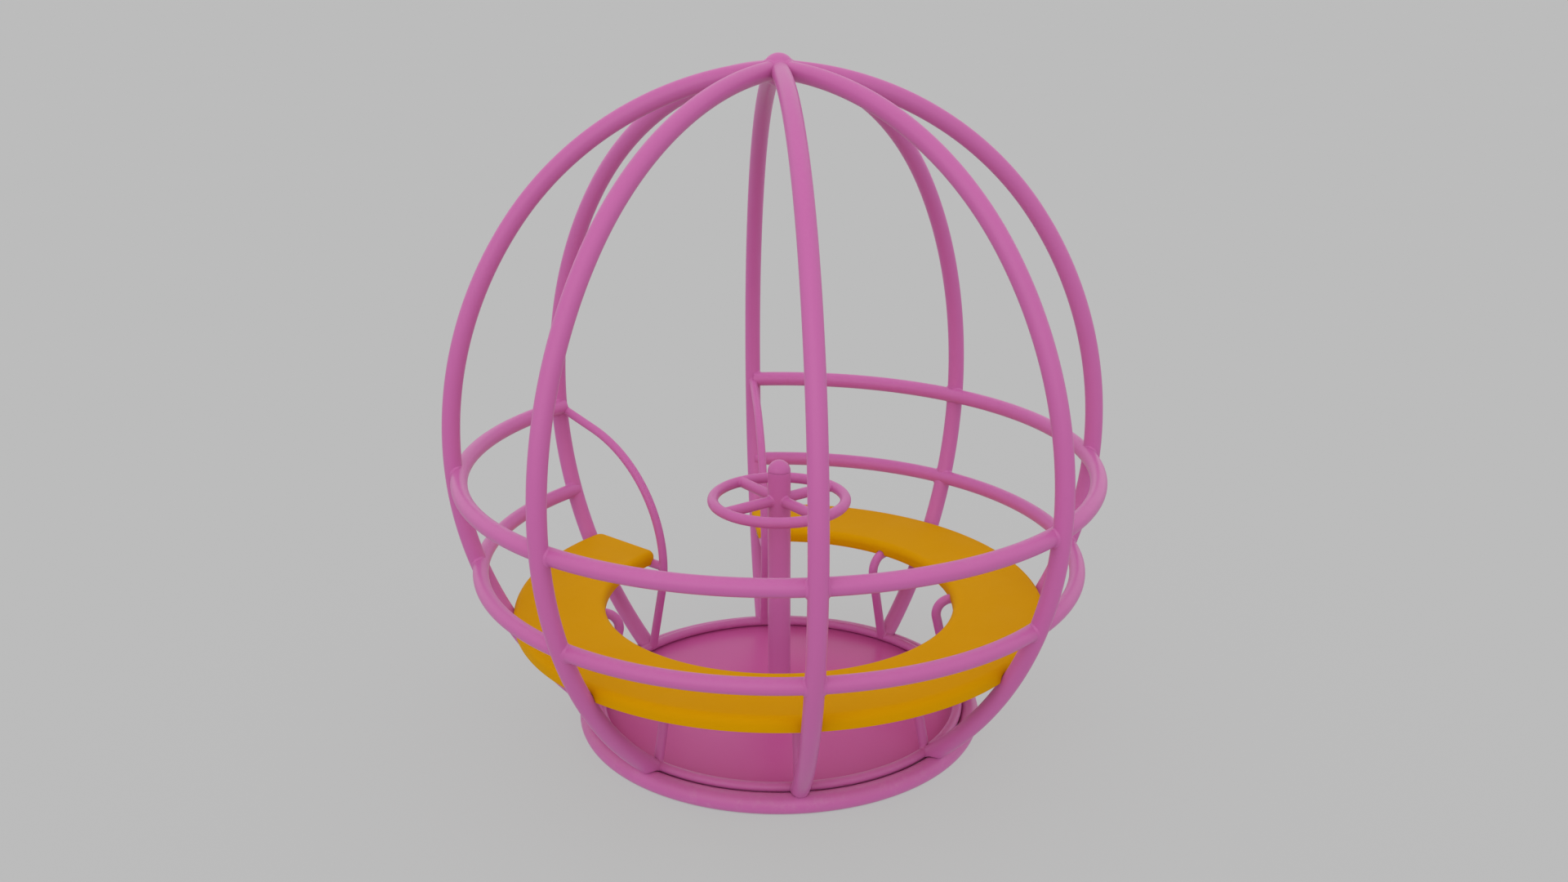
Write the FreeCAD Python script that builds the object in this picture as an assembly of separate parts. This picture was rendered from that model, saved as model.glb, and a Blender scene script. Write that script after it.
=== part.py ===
"""Globe merry go round: a tube cage with a C-shaped seat that turns on a fixed base and centre post.

Millimetres, +Z up, origin on the ground on the axis of rotation.  The entrance faces -Y.
A meridian piece is built in the XZ plane, with X as its radius, and then turned about Z.
Every piece is one node: parts/NODE.step.
"""
import FreeCAD
import Part

import os
from math import acos, asin, cos, degrees, pi, radians, sin, tan

from FreeCAD import Vector

# ---------------------------------------------------------------- driving dimensions
BAYS = 8                      # rib spacings round the globe, one of them the entrance
BAY_ANGLE = 360.0 / BAYS
FIRST_RIB = -90.0 + BAY_ANGLE / 2

GLOBE_RADIUS = 879.0          # rib centreline at its widest
WAIST_Z = 820.0               # height of the widest place
BELLY_ARC = 1009.0            # rib arc below the waist
FLANK_ARC = 1070.0            # rib arc just above the waist
FLANK_TURN = 35.3             # degrees of that arc
CROWN_ARC = 882.0             # rib arc over the top

RIB_OD, RIB_WALL = 48.3, 3.2
RAIL_WALL = 3.2
UPPER_RAIL_OD, UPPER_RAIL_R, UPPER_RAIL_Z = 44.5, 860.0, 759.5
LOWER_RAIL_OD, LOWER_RAIL_R, LOWER_RAIL_Z = 42.4, 819.0, 498.0
SMALL_OD, SMALL_WALL = 26.9, 2.6
CROWN_BALL_R = 42.0

BASE_OD, BASE_WALL = 54.0, 4.0
BASE_OUTER_R = 570.0
DECK_R, DECK_THICK = 513.0, 4.0
DECK_TOP = 40.4
RIM_R = 509.0
RUNNING_GAP = 3.0             # turning cage to fixed base ring

POST_OD, POST_WALL = 63.5, 4.0
POST_TOP = 736.0
WHEEL_R, WHEEL_Z = 183.5, 653.5
WHEEL_OD, WHEEL_WALL = 30.0, 2.6
WHEEL_SPOKES = 4
FIRST_WHEEL_SPOKE = 8.5

SEAT_IN_R, SEAT_OUT_R = 488.0, 739.0
SEAT_TOP, SEAT_DEPTH, SEAT_WALL = 373.0, 37.0, 6.0
SEAT_EDGE, SEAT_CORNER = 20.0, 28.0
SEAT_OVERHANG = 1.6           # degrees past each entrance rib
RIB_NOTCH_GAP = 1.0           # round each rib, in the seat
ARM_Z = 333.5                 # seat arms, centre height
LEG_IN_R, LEG_BEND, LEG_LEAN = 451.5, 45.0, 13.0
HOOP_OD, HOOP_WALL = 25.0, 2.6
HOOP_IN_R, HOOP_ARC, HOOP_Z = 450.0, 394.0, 335.5
HOOP_LEAN, HOOP_RISE = 12.5, 17.0

SADDLE_AT = (560.0, 670.0)    # radii of the two saddles on each arm
SADDLE_LENGTH, SADDLE_HALF, SADDLE_EDGE = 40.0, 34.0, 14.0
CLIP_LENGTH, CLIP_THICK = 30.0, 3.0
BOLT_R, BOLT_OFFSET, BOLT_REACH = 4.0, 24.0, 22.0
BOLT_HEAD_R, BOLT_HEAD = 7.0, 5.3

ANCHOR_R, ANCHOR_THICK = 150.0, 10.0
ANCHOR_PCD, ANCHOR_HOLE, ANCHOR_HOLES = 240.0, 14.0, 6
FIRST_ANCHOR_HOLE = 30.0
BASE_ARMS, BASE_ARM_WIDTH, FIRST_BASE_ARM = 4, 60.0, 45.0
DECK_SPOKE_WIDTH, DECK_SPOKE_THICK = 40.0, 10.0
DECK_SPOKE_END = 505.0

BEARING_OD, BEARING_WIDTH = 98.0, 18.0
BEARING_PITCH_R, BALL_R, BALLS = 40.4, 5.5, 14
RETAINER_HALF = 1.2           # half the thickness of the ball retainer
RETAINER_LAP = 1.0            # its edge, above and below the balls
INNER_RACE_R, OUTER_RACE_R = 37.2, 43.6
LOWER_BEARING_Z, UPPER_BEARING_Z = 14.0, 58.0
HUB_R, HUB_BOTTOM, HUB_SHOULDER = 62.5, 12.6, 3.5
COVER_THICK, COVER_SCREWS, COVER_SCREW_R = 4.0, 6, 55.0
COVER_INSET = 0.5             # cover's edge inside the hub's
SCREW_R, SCREW_REACH, SCREW_HEAD_R, SCREW_HEAD = 3.0, 14.0, 5.0, 4.0
SCREW_SOCKET_R = 2.7
NECK_R, NECK_RISE, SEAL_R = 36.1, 2.0, 39.1
COLLAR_R, COLLAR_TOP = 42.0, 94.0
COLLAR_SCREWS, COLLAR_SCREW_R = 3, 4.0

WELD_GAP = 0.2                # left where one curved face is cut to meet another
RACE_GAP = 0.05               # balls to races, races to their seats
LOOSE = 0.3                   # turning piece to still piece
OVERSHOOT = 1.0               # a cutter's reach past the face it cuts through

# ---------------------------------------------------------------- worked out from those
BASE_R = BASE_OUTER_R - BASE_OD / 2
BASE_Z = BASE_OD / 2
RIM_Z = DECK_TOP + SMALL_OD / 2
SEAT_BOTTOM = SEAT_TOP - SEAT_DEPTH
COVER_Z = UPPER_BEARING_Z + BEARING_WIDTH
NECK_TOP = COVER_Z + COVER_THICK + NECK_RISE
RIBS = [FIRST_RIB + BAY_ANGLE * index for index in range(BAYS)]
ARMS = [(angle, (-1, 1)) for angle in RIBS]      # seat arms, with the sides that are clipped
ARMS[0] = (RIBS[0], (1,))
ARMS[-1] = (RIBS[-1], (-1,))
BELLY_CENTRE = Vector(GLOBE_RADIUS - BELLY_ARC, 0, WAIST_Z)
FLANK_CENTRE = Vector(GLOBE_RADIUS - FLANK_ARC, 0, WAIST_Z)
CROWN_CENTRE = FLANK_CENTRE + Vector(cos(radians(FLANK_TURN)), 0,
                                     sin(radians(FLANK_TURN))) * (FLANK_ARC - CROWN_ARC)
CROWN_TURN = degrees(acos(-CROWN_CENTRE.x / CROWN_ARC))
CROWN_Z = CROWN_CENTRE.z + CROWN_ARC * sin(radians(CROWN_TURN))
BELLY_END = degrees(asin((WAIST_Z - DECK_TOP) / BELLY_ARC))

UP = Vector(0, 0, 1)
ORIGIN = Vector(0, 0, 0)
MERIDIAN_AXIS = Vector(0, -1, 0)     # a turn about it lifts a point of the XZ plane


# ---------------------------------------------------------------- helpers
def on_circle(centre, radius, angle):
    """Point of the XZ plane at `angle` degrees above the horizontal, from `centre`."""
    return centre + Vector(cos(radians(angle)), 0, sin(radians(angle))) * radius


def turned(shape, angle):
    """Copy of `shape`, turned about the Z axis."""
    copy = shape.copy()
    copy.rotate(ORIGIN, UP, angle)
    return copy


def ring_of(shape, count, first=0.0):
    """`count` copies of `shape`, spread evenly about the Z axis."""
    return Part.makeCompound([turned(shape, first + 360.0 * index / count) for index in range(count)])


def tube_face(point, along, outer, bore):
    """Annulus, or a disc where there is no bore, across a tube at `point`."""
    face = Part.Face(Part.Wire(Part.makeCircle(outer, point, along)))
    if bore > 0:
        face = face.cut(Part.Face(Part.Wire(Part.makeCircle(bore, point, along))))
    return face


def arc_tube(centre, radius, start, end, outer, bore=0.0):
    """Tube bent along an arc of the XZ plane, from `start` to `end` degrees."""
    point = on_circle(centre, radius, start)
    along = MERIDIAN_AXIS.cross(point - centre)
    face = tube_face(point, along, outer, bore)
    return face.revolve(centre, MERIDIAN_AXIS, end - start)


def straight_tube(start, end, outer, bore=0.0):
    """Straight tube from one point to another."""
    along = end - start
    tube = Part.makeCylinder(outer, along.Length, start, along)
    if bore > 0:
        tube = tube.cut(Part.makeCylinder(bore, along.Length, start, along))
    return tube


def level_ring(radius, height, outer, bore=0.0, start=0.0, sweep=360.0):
    """Tube bent into a level ring, or a part of one, about the Z axis."""
    point = Vector(radius, 0, height)
    face = tube_face(point, Vector(0, 1, 0), outer, bore)
    return turned(face.revolve(ORIGIN, UP, sweep), start)


def washer(outer, bore, bottom, top):
    """Flat ring on the Z axis."""
    height = top - bottom
    ring = Part.makeCylinder(outer, height, UP * bottom)
    return ring.cut(Part.makeCylinder(bore, height, UP * bottom))


def joined(pieces):
    """Pieces that meet end to end, as one solid."""
    whole = pieces[0].fuse(pieces[1:]).removeSplitter()
    return whole.Solids[0]


def biggest(shape):
    """The largest solid of a cut shape."""
    return max(shape.Solids, key=lambda solid: solid.Volume)


def flat_bar(start, end, width, bottom, top):
    """Radial flat bar along +X."""
    return Part.makeBox(end - start, width, top - bottom, Vector(start, -width / 2, bottom))


# ---------------------------------------------------------------- cage tubes
def rib_tube(outer, bore=0.0):
    """Meridian tube from the deck rim to the crown, in three arcs that run into each other."""
    return joined([
        arc_tube(BELLY_CENTRE, BELLY_ARC, -BELLY_END, 0, outer, bore),
        arc_tube(FLANK_CENTRE, FLANK_ARC, 0, FLANK_TURN, outer, bore),
        arc_tube(CROWN_CENTRE, CROWN_ARC, FLANK_TURN, CROWN_TURN, outer, bore),
    ])


def crown_wedge():
    """One bay of space about the Z axis, whose sides mitre neighbouring ribs."""
    reach = GLOBE_RADIUS * 2
    half = reach * tan(radians(BAY_ANGLE / 2)) - WELD_GAP
    corners = [Vector(0, 0, 0), Vector(reach, -half, 0), Vector(reach, half, 0), Vector(0, 0, 0)]
    wedge = Part.Face(Part.makePolygon(corners)).extrude(UP * reach * 2)
    wedge.translate(Vector(WELD_GAP, 0, 0))
    return wedge


def rib():
    """Rib, mitred at the crown, cut to the ball and the rim, and clear of the base ring."""
    tube = rib_tube(RIB_OD / 2, RIB_OD / 2 - RIB_WALL).common(crown_wedge())
    ball = Part.makeSphere(CROWN_BALL_R + WELD_GAP, UP * CROWN_Z)
    rim = level_ring(RIM_R, RIM_Z, SMALL_OD / 2 + WELD_GAP)
    clearance = level_ring(BASE_R, BASE_Z, BASE_OD / 2 + RUNNING_GAP)
    return biggest(tube.cut([ball, rim, clearance]))


def rib_rods(spare):
    """Solid rods on the lines of all ribs, to cut other pieces with."""
    rod = rib_tube(RIB_OD / 2 + spare)
    return [turned(rod, angle) for angle in RIBS]


def rail(outer, radius, height, bay, rods):
    """One bay of a rail, cut to meet the ribs at both ends."""
    tube = level_ring(radius, height, outer, outer - RAIL_WALL, RIBS[bay], BAY_ANGLE)
    return biggest(tube.cut([rods[bay], rods[bay + 1]]))


def leg_tube(outer, bore=0.0):
    """Seat support: a leaning leg on the rim, a tight bend and a level arm out to the rib."""
    centre = Vector(LEG_IN_R + LEG_BEND, 0, ARM_Z - LEG_BEND)
    leg_top = on_circle(centre, LEG_BEND, 180 + LEG_LEAN)
    foot = Vector(leg_top.x + (leg_top.z - RIM_Z) * tan(radians(LEG_LEAN)), 0, RIM_Z)
    arm_start = on_circle(centre, LEG_BEND, 90)
    return joined([
        straight_tube(foot, leg_top, outer, bore),
        arc_tube(centre, LEG_BEND, 180 + LEG_LEAN, 90, outer, bore),
        straight_tube(arm_start, Vector(GLOBE_RADIUS, 0, ARM_Z), outer, bore),
    ])


def hoop_tube(outer, bore=0.0):
    """Entrance grab hoop: from the rim up past the seat end, then over and out to the rib."""
    centre = Vector(HOOP_IN_R + HOOP_ARC, 0, HOOP_Z)
    low = on_circle(centre, HOOP_ARC, 180 + HOOP_LEAN)
    high = on_circle(centre, HOOP_ARC, 90 + HOOP_RISE)
    foot = Vector(low.x + (low.z - RIM_Z) * tan(radians(HOOP_LEAN)), 0, RIM_Z)
    run = GLOBE_RADIUS - high.x
    tip = high + Vector(run, 0, run * tan(radians(HOOP_RISE)))
    return joined([
        straight_tube(foot, low, outer, bore),
        arc_tube(centre, HOOP_ARC, 180 + HOOP_LEAN, 90 + HOOP_RISE, outer, bore),
        straight_tube(high, tip, outer, bore),
    ])


def arm_rod(outer, bore=0.0):
    """Level arm of the entrance hoops, from the hoop out to the rib."""
    start = Vector(HOOP_IN_R, 0, ARM_Z)
    return straight_tube(start, Vector(GLOBE_RADIUS, 0, ARM_Z), outer, bore)


def small_bore():
    """Bore radius of the small tube."""
    return SMALL_OD / 2 - SMALL_WALL


# ---------------------------------------------------------------- seat
def seat_block(inset, bottom, top, edge, corner):
    """C-shaped slab with rounded end corners and a rounded top edge, `inset` inside the seat."""
    inner, outer = SEAT_IN_R + inset, SEAT_OUT_R - inset
    end = degrees(inset / ((inner + outer) / 2))
    start = RIBS[0] - SEAT_OVERHANG + end
    sweep = BAY_ANGLE * (BAYS - 1) + 2 * (SEAT_OVERHANG - end)
    corners = [Vector(inner, 0, bottom), Vector(outer, 0, bottom), Vector(outer, 0, top),
               Vector(inner, 0, top), Vector(inner, 0, bottom)]
    slab = turned(Part.Face(Part.makePolygon(corners)).revolve(ORIGIN, UP, sweep), start)
    upright = [line for line in slab.Edges
               if line.BoundBox.ZLength > top - bottom - 1 and line.BoundBox.XLength < 1]
    slab = slab.makeFillet(corner, upright)
    rim = [line for line in slab.Edges if line.BoundBox.ZMin > top - 0.01]
    return slab.makeFillet(edge, rim)


def saddle(radius, sides):
    """Moulded block under the seat's skin that rests on an arm, wide on the given sides."""
    bottom = ARM_Z + WELD_GAP
    low, high = saddle_span(sides)
    return Part.makeBox(SADDLE_LENGTH, high - low, SEAT_TOP - SEAT_WALL / 2 - bottom,
                        Vector(radius - SADDLE_LENGTH / 2, low, bottom))


def saddle_span(sides):
    """Lowest and highest Y of a saddle or clip that reaches out on the given sides."""
    low = -SADDLE_HALF if -1 in sides else -SADDLE_EDGE
    high = SADDLE_HALF if 1 in sides else SADDLE_EDGE
    return low, high


def bolt_places(sides):
    """Positions of the seat bolts on an arm that lies along +X."""
    return [Vector(radius, side * BOLT_OFFSET, 0) for radius in SADDLE_AT for side in sides]


def bolts_of(pin, sides):
    """A copy of `pin` at each bolt of an arm."""
    copies = []
    for place in bolt_places(sides):
        copy = pin.copy()
        copy.translate(place)
        copies.append(copy)
    return Part.makeCompound(copies)


def seat(rib_cutters):
    """Moulded seat shell with its lips turned down, saddles on the arms and notches for the ribs."""
    shell = seat_block(0, SEAT_BOTTOM, SEAT_TOP, SEAT_EDGE, SEAT_CORNER)
    hollow = seat_block(SEAT_WALL, SEAT_BOTTOM - OVERSHOOT, SEAT_TOP - SEAT_WALL,
                        SEAT_EDGE - SEAT_WALL, SEAT_CORNER - SEAT_WALL)
    blocks = [turned(saddle(radius, sides), angle) for angle, sides in ARMS for radius in SADDLE_AT]
    shell = shell.cut(hollow).fuse(blocks).removeSplitter()
    groove = arm_rod(SMALL_OD / 2 + WELD_GAP)
    hole = Part.makeCylinder(BOLT_R + WELD_GAP, BOLT_REACH + OVERSHOOT * 2, UP * (ARM_Z - OVERSHOOT))
    under = [turned(Part.makeCompound([groove, bolts_of(hole, sides)]), angle) for angle, sides in ARMS]
    return biggest(shell.cut(under + rib_cutters))


def seat_clip(radius, sides):
    """Half-round clip that holds an arm up against its saddle, with a flange on the given sides."""
    bore = SMALL_OD / 2 + WELD_GAP
    start = Vector(radius - CLIP_LENGTH / 2, 0, ARM_Z)
    along = Vector(1, 0, 0)
    low, high = (SADDLE_HALF * side if side in sides else 0 for side in (-1, 1))
    band = Part.makeCylinder(bore + CLIP_THICK, CLIP_LENGTH, start, along)
    flange = Part.makeBox(CLIP_LENGTH, high - low, CLIP_THICK, Vector(start.x, low, ARM_Z - CLIP_THICK))
    above = Part.makeBox(CLIP_LENGTH, 2 * SADDLE_HALF, 2 * SADDLE_HALF,
                         Vector(start.x, -SADDLE_HALF, ARM_Z))
    holes = [Part.makeCylinder(BOLT_R + WELD_GAP, CLIP_THICK * 3,
                               Vector(radius, side * BOLT_OFFSET, ARM_Z - CLIP_THICK * 2))
             for side in sides]
    clip = band.fuse(flange).cut([above, Part.makeCylinder(bore, CLIP_LENGTH, start, along)] + holes)
    return clip.removeSplitter()


def hex_prism(across, height, bottom):
    """Hexagon head, `across` from corner to centre."""
    corners = [Vector(across * cos(pi * side / 3), across * sin(pi * side / 3), bottom)
               for side in range(7)]
    return Part.Face(Part.makePolygon(corners)).extrude(UP * height)


def seat_bolt():
    """Hexagon bolt, head down, standing at the origin."""
    under = ARM_Z - CLIP_THICK
    head = hex_prism(BOLT_HEAD_R, BOLT_HEAD, under - BOLT_HEAD)
    shank = Part.makeCylinder(BOLT_R, BOLT_REACH + CLIP_THICK, UP * under)
    return head.fuse(shank).removeSplitter()


# ---------------------------------------------------------------- hub and bearings
def bearing_groove(bottom):
    """Ball track shared by both races."""
    return level_ring(BEARING_PITCH_R, bottom + BEARING_WIDTH / 2, BALL_R + RACE_GAP)


def inner_race(bottom):
    """Inner race, which stays with the post."""
    ring = washer(INNER_RACE_R, POST_OD / 2 + RACE_GAP, bottom, bottom + BEARING_WIDTH)
    return ring.cut(bearing_groove(bottom))


def outer_race(bottom):
    """Outer race, which turns with the hub."""
    ring = washer(BEARING_OD / 2 - RACE_GAP, OUTER_RACE_R, bottom, bottom + BEARING_WIDTH)
    return ring.cut(bearing_groove(bottom))


def ball_set(bottom):
    """Balls and their retainer, as separate solids that go round together."""
    middle = UP * (bottom + BEARING_WIDTH / 2)
    half = UP * (BALL_R + RETAINER_LAP)
    retainer = washer(BEARING_PITCH_R + RETAINER_HALF, BEARING_PITCH_R - RETAINER_HALF,
                      (middle - half).z, (middle + half).z)
    pocket = Part.makeCylinder(BALL_R + WELD_GAP, BEARING_PITCH_R * 2, middle, Vector(1, 0, 0))
    ball = Part.makeSphere(BALL_R, middle + Vector(BEARING_PITCH_R, 0, 0))
    return Part.makeCompound([retainer.cut(ring_of(pocket, BALLS)), ring_of(ball, BALLS)])


def hub_housing():
    """Hub with a seat for a bearing at each end and a shoulder between them."""
    bore = BEARING_OD / 2
    body = washer(HUB_R, bore - HUB_SHOULDER, HUB_BOTTOM, COVER_Z)
    low_top = LOWER_BEARING_Z + BEARING_WIDTH
    low_seat = Part.makeCylinder(bore, low_top - HUB_BOTTOM, UP * HUB_BOTTOM)
    high_seat = Part.makeCylinder(bore, BEARING_WIDTH, UP * UPPER_BEARING_Z)
    screw_hole = Part.makeCylinder(SCREW_R + WELD_GAP, SCREW_REACH + OVERSHOOT,
                                   Vector(COVER_SCREW_R, 0, COVER_Z - SCREW_REACH))
    return body.cut([low_seat, high_seat, ring_of(screw_hole, COVER_SCREWS)])


def hub_cover():
    """Ring that closes the hub over the upper bearing."""
    ring = washer(HUB_R - COVER_INSET, SEAL_R, COVER_Z, COVER_Z + COVER_THICK)
    hole = Part.makeCylinder(SCREW_R + WELD_GAP, COVER_THICK, Vector(COVER_SCREW_R, 0, COVER_Z))
    return ring.cut(ring_of(hole, COVER_SCREWS))


def cover_screw():
    """Socket screw of the hub cover."""
    top = COVER_Z + COVER_THICK
    place = Vector(COVER_SCREW_R, 0, 0)
    head = Part.makeCylinder(SCREW_HEAD_R, SCREW_HEAD, place + UP * top)
    shank = Part.makeCylinder(SCREW_R, COVER_THICK + SCREW_REACH - OVERSHOOT,
                              place + UP * (COVER_Z - SCREW_REACH + OVERSHOOT))
    socket = hex_prism(SCREW_SOCKET_R, SCREW_HEAD, top + SCREW_HEAD / 2)
    socket.translate(place)
    return head.fuse(shank).removeSplitter().cut(socket)


def lock_screw(spare=0.0):
    """Radial grub screw through the collar against the post, or its hole where there is `spare`."""
    start = Vector(POST_OD / 2 + RACE_GAP, 0, (NECK_TOP + COLLAR_TOP) / 2)
    outward = Vector(1, 0, 0)
    length = COLLAR_R - start.x
    screw = Part.makeCylinder(COLLAR_SCREW_R + spare, length + spare, start, outward)
    if spare:
        return screw
    depth = COLLAR_SCREW_R
    socket = Part.makeCylinder(COLLAR_SCREW_R / 2, depth, start + outward * (length - depth), outward)
    return screw.cut(socket)


def lock_collar():
    """Collar on the post that holds the inner races down."""
    bore = POST_OD / 2 + WELD_GAP
    neck = washer(NECK_R, bore, COVER_Z, NECK_TOP)
    body = washer(COLLAR_R, bore, NECK_TOP, COLLAR_TOP)
    return neck.fuse(body).removeSplitter().cut(ring_of(lock_screw(WELD_GAP), COLLAR_SCREWS))


# ---------------------------------------------------------------- base
def anchor_plate():
    """Round foot plate with anchor holes and a raised seat for the lower bearing."""
    plate = Part.makeCylinder(ANCHOR_R, ANCHOR_THICK)
    seat_ring = washer(INNER_RACE_R, POST_OD / 2 + WELD_GAP, ANCHOR_THICK, LOWER_BEARING_Z)
    hole = Part.makeCylinder(ANCHOR_HOLE / 2, ANCHOR_THICK, Vector(ANCHOR_PCD / 2, 0, 0))
    return plate.fuse(seat_ring).removeSplitter().cut(ring_of(hole, ANCHOR_HOLES, FIRST_ANCHOR_HOLE))


def base_arms():
    """Flat bars from the foot plate out to the base ring."""
    bar = flat_bar(ANCHOR_R / 2, BASE_R, BASE_ARM_WIDTH, 0, ANCHOR_THICK)
    bar = bar.cut([Part.makeCylinder(ANCHOR_R + WELD_GAP, ANCHOR_THICK),
                   level_ring(BASE_R, BASE_Z, BASE_OD / 2 + WELD_GAP)])
    return ring_of(bar, BASE_ARMS, FIRST_BASE_ARM)


def post_cap():
    """Domed cap that plugs the post."""
    radius = POST_OD / 2
    dome = Part.makeSphere(radius, UP * POST_TOP)
    below = Part.makeCylinder(radius * 2, radius * 2, UP * (POST_TOP - radius * 2))
    plug = Part.makeCylinder(radius - POST_WALL - WELD_GAP, radius, UP * (POST_TOP - radius / 2))
    return dome.cut(below).fuse(plug).removeSplitter()


def wheel_spoke():
    """Handwheel spoke between the post and the wheel's rim."""
    rod = straight_tube(Vector(0, 0, WHEEL_Z), Vector(WHEEL_R, 0, WHEEL_Z), WHEEL_OD / 2)
    post = Part.makeCylinder(POST_OD / 2 + WELD_GAP, POST_TOP)
    rim = level_ring(WHEEL_R, WHEEL_Z, WHEEL_OD / 2 + WELD_GAP)
    return biggest(rod.cut([post, rim]))


# ---------------------------------------------------------------- assembly
def base_nodes():
    """Pieces that stay still."""
    post_bore = POST_OD / 2 - POST_WALL
    return {
        "base_ring": level_ring(BASE_R, BASE_Z, BASE_OD / 2, BASE_OD / 2 - BASE_WALL),
        "base_arms": base_arms(),
        "anchor_plate": anchor_plate(),
        "centre_post": washer(POST_OD / 2, post_bore, ANCHOR_THICK, POST_TOP),
        "post_cap": post_cap(),
        "handwheel_rim": level_ring(WHEEL_R, WHEEL_Z, WHEEL_OD / 2, WHEEL_OD / 2 - WHEEL_WALL),
        "handwheel_spokes": ring_of(wheel_spoke(), WHEEL_SPOKES, FIRST_WHEEL_SPOKE),
        "lower_bearing_inner": inner_race(LOWER_BEARING_Z),
        "upper_bearing_inner": inner_race(UPPER_BEARING_Z),
        "bearing_spacer": washer(NECK_R, POST_OD / 2 + WELD_GAP,
                                 LOWER_BEARING_Z + BEARING_WIDTH, UPPER_BEARING_Z),
        "lock_collar": lock_collar(),
        "lock_screws": ring_of(lock_screw(), COLLAR_SCREWS),
    }


def hub_nodes():
    """Hub and deck, which turn with the cage."""
    deck_bottom = DECK_TOP - DECK_THICK
    spoke = flat_bar(0, DECK_SPOKE_END, DECK_SPOKE_WIDTH, deck_bottom - DECK_SPOKE_THICK, deck_bottom)
    spoke = spoke.cut(Part.makeCylinder(HUB_R + WELD_GAP, DECK_TOP))
    return {
        "deck_plate": washer(DECK_R, HUB_R + WELD_GAP, deck_bottom, DECK_TOP),
        "deck_spokes": ring_of(spoke, BAYS, FIRST_RIB),
        "deck_rim": level_ring(RIM_R, RIM_Z, SMALL_OD / 2, small_bore()),
        "hub_housing": hub_housing(),
        "lower_bearing_outer": outer_race(LOWER_BEARING_Z),
        "upper_bearing_outer": outer_race(UPPER_BEARING_Z),
        "hub_cover": hub_cover(),
        "hub_cover_screws": ring_of(cover_screw(), COVER_SCREWS),
        "dust_seal": washer(SEAL_R - WELD_GAP, NECK_R + LOOSE, COVER_Z + LOOSE, COVER_Z + COVER_THICK),
    }


def cage_nodes():
    """Ribs, rails, seat supports and seat."""
    nodes = {}
    one_rib = rib()
    for index, angle in enumerate(RIBS, 1):
        nodes[f"rib_{index}"] = turned(one_rib, angle)
    nodes["crown_ball"] = Part.makeSphere(CROWN_BALL_R, UP * CROWN_Z)
    rods = rib_rods(WELD_GAP)
    for bay in range(BAYS - 1):
        nodes[f"upper_rail_{bay + 1}"] = rail(UPPER_RAIL_OD / 2, UPPER_RAIL_R, UPPER_RAIL_Z, bay, rods)
        nodes[f"lower_rail_{bay + 1}"] = rail(LOWER_RAIL_OD / 2, LOWER_RAIL_R, LOWER_RAIL_Z, bay, rods)

    bore = small_bore()
    rim = level_ring(RIM_R, RIM_Z, SMALL_OD / 2 + WELD_GAP)
    rib_rod = rib_tube(RIB_OD / 2 + WELD_GAP)
    support = biggest(leg_tube(SMALL_OD / 2, bore).cut([rim, rib_rod]))
    for index, angle in enumerate(RIBS[1:-1], 1):
        nodes[f"seat_support_{index}"] = turned(support, angle)

    upper_ring = level_ring(UPPER_RAIL_R, UPPER_RAIL_Z, UPPER_RAIL_OD / 2 + WELD_GAP)
    hoop = biggest(hoop_tube(HOOP_OD / 2, HOOP_OD / 2 - HOOP_WALL).cut([rim, rib_rod, upper_ring]))
    arm = biggest(arm_rod(SMALL_OD / 2, bore).cut([rib_rod, hoop_tube(HOOP_OD / 2 + WELD_GAP)]))
    for side, angle in (("right", RIBS[0]), ("left", RIBS[-1])):
        nodes[f"entrance_hoop_{side}"] = turned(hoop, angle)
        nodes[f"entrance_arm_{side}"] = turned(arm, angle)

    nodes["seat"] = seat(rib_rods(RIB_NOTCH_GAP))
    clips, bolts = [], []
    for angle, sides in ARMS:
        clips += [turned(seat_clip(radius, sides), angle) for radius in SADDLE_AT]
        bolts.append(turned(bolts_of(seat_bolt(), sides), angle))
    nodes["seat_clips"] = Part.makeCompound(clips)
    nodes["seat_bolts"] = Part.makeCompound(bolts)
    return nodes


def ball_nodes():
    """Ball sets, which go round between their races."""
    return {
        "lower_bearing_balls": ball_set(LOWER_BEARING_Z),
        "upper_bearing_balls": ball_set(UPPER_BEARING_Z),
    }


def main():
    """Build every node and write its STEP file."""
    os.makedirs("parts", exist_ok=True)
    nodes = {**base_nodes(), **hub_nodes(), **cage_nodes(), **ball_nodes()}
    for name, shape in nodes.items():
        shape.exportStep(f"parts/{name}.step")
        bad = [solid for solid in shape.Solids if not solid.isValid()]
        print(f"{name}: {len(shape.Solids)} solid(s), {shape.Volume / 1000:.1f} cm3, {len(bad)} bad")


main()
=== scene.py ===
"""Looks of the globe merry go round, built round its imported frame.

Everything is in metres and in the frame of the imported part: +Z up, the axis of rotation on Z and
the entrance towards -Y.  Each sub-assembly is a class that builds its meshes and dresses them, and
each finish is a frozen dataclass that makes one procedural material.
"""

import logging
from dataclasses import dataclass, field
from enum import Enum
from math import acos, asin, atan2, cos, degrees, pi, radians, sin, sqrt, tan
from typing import Iterable, Protocol, Sequence, Union

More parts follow.
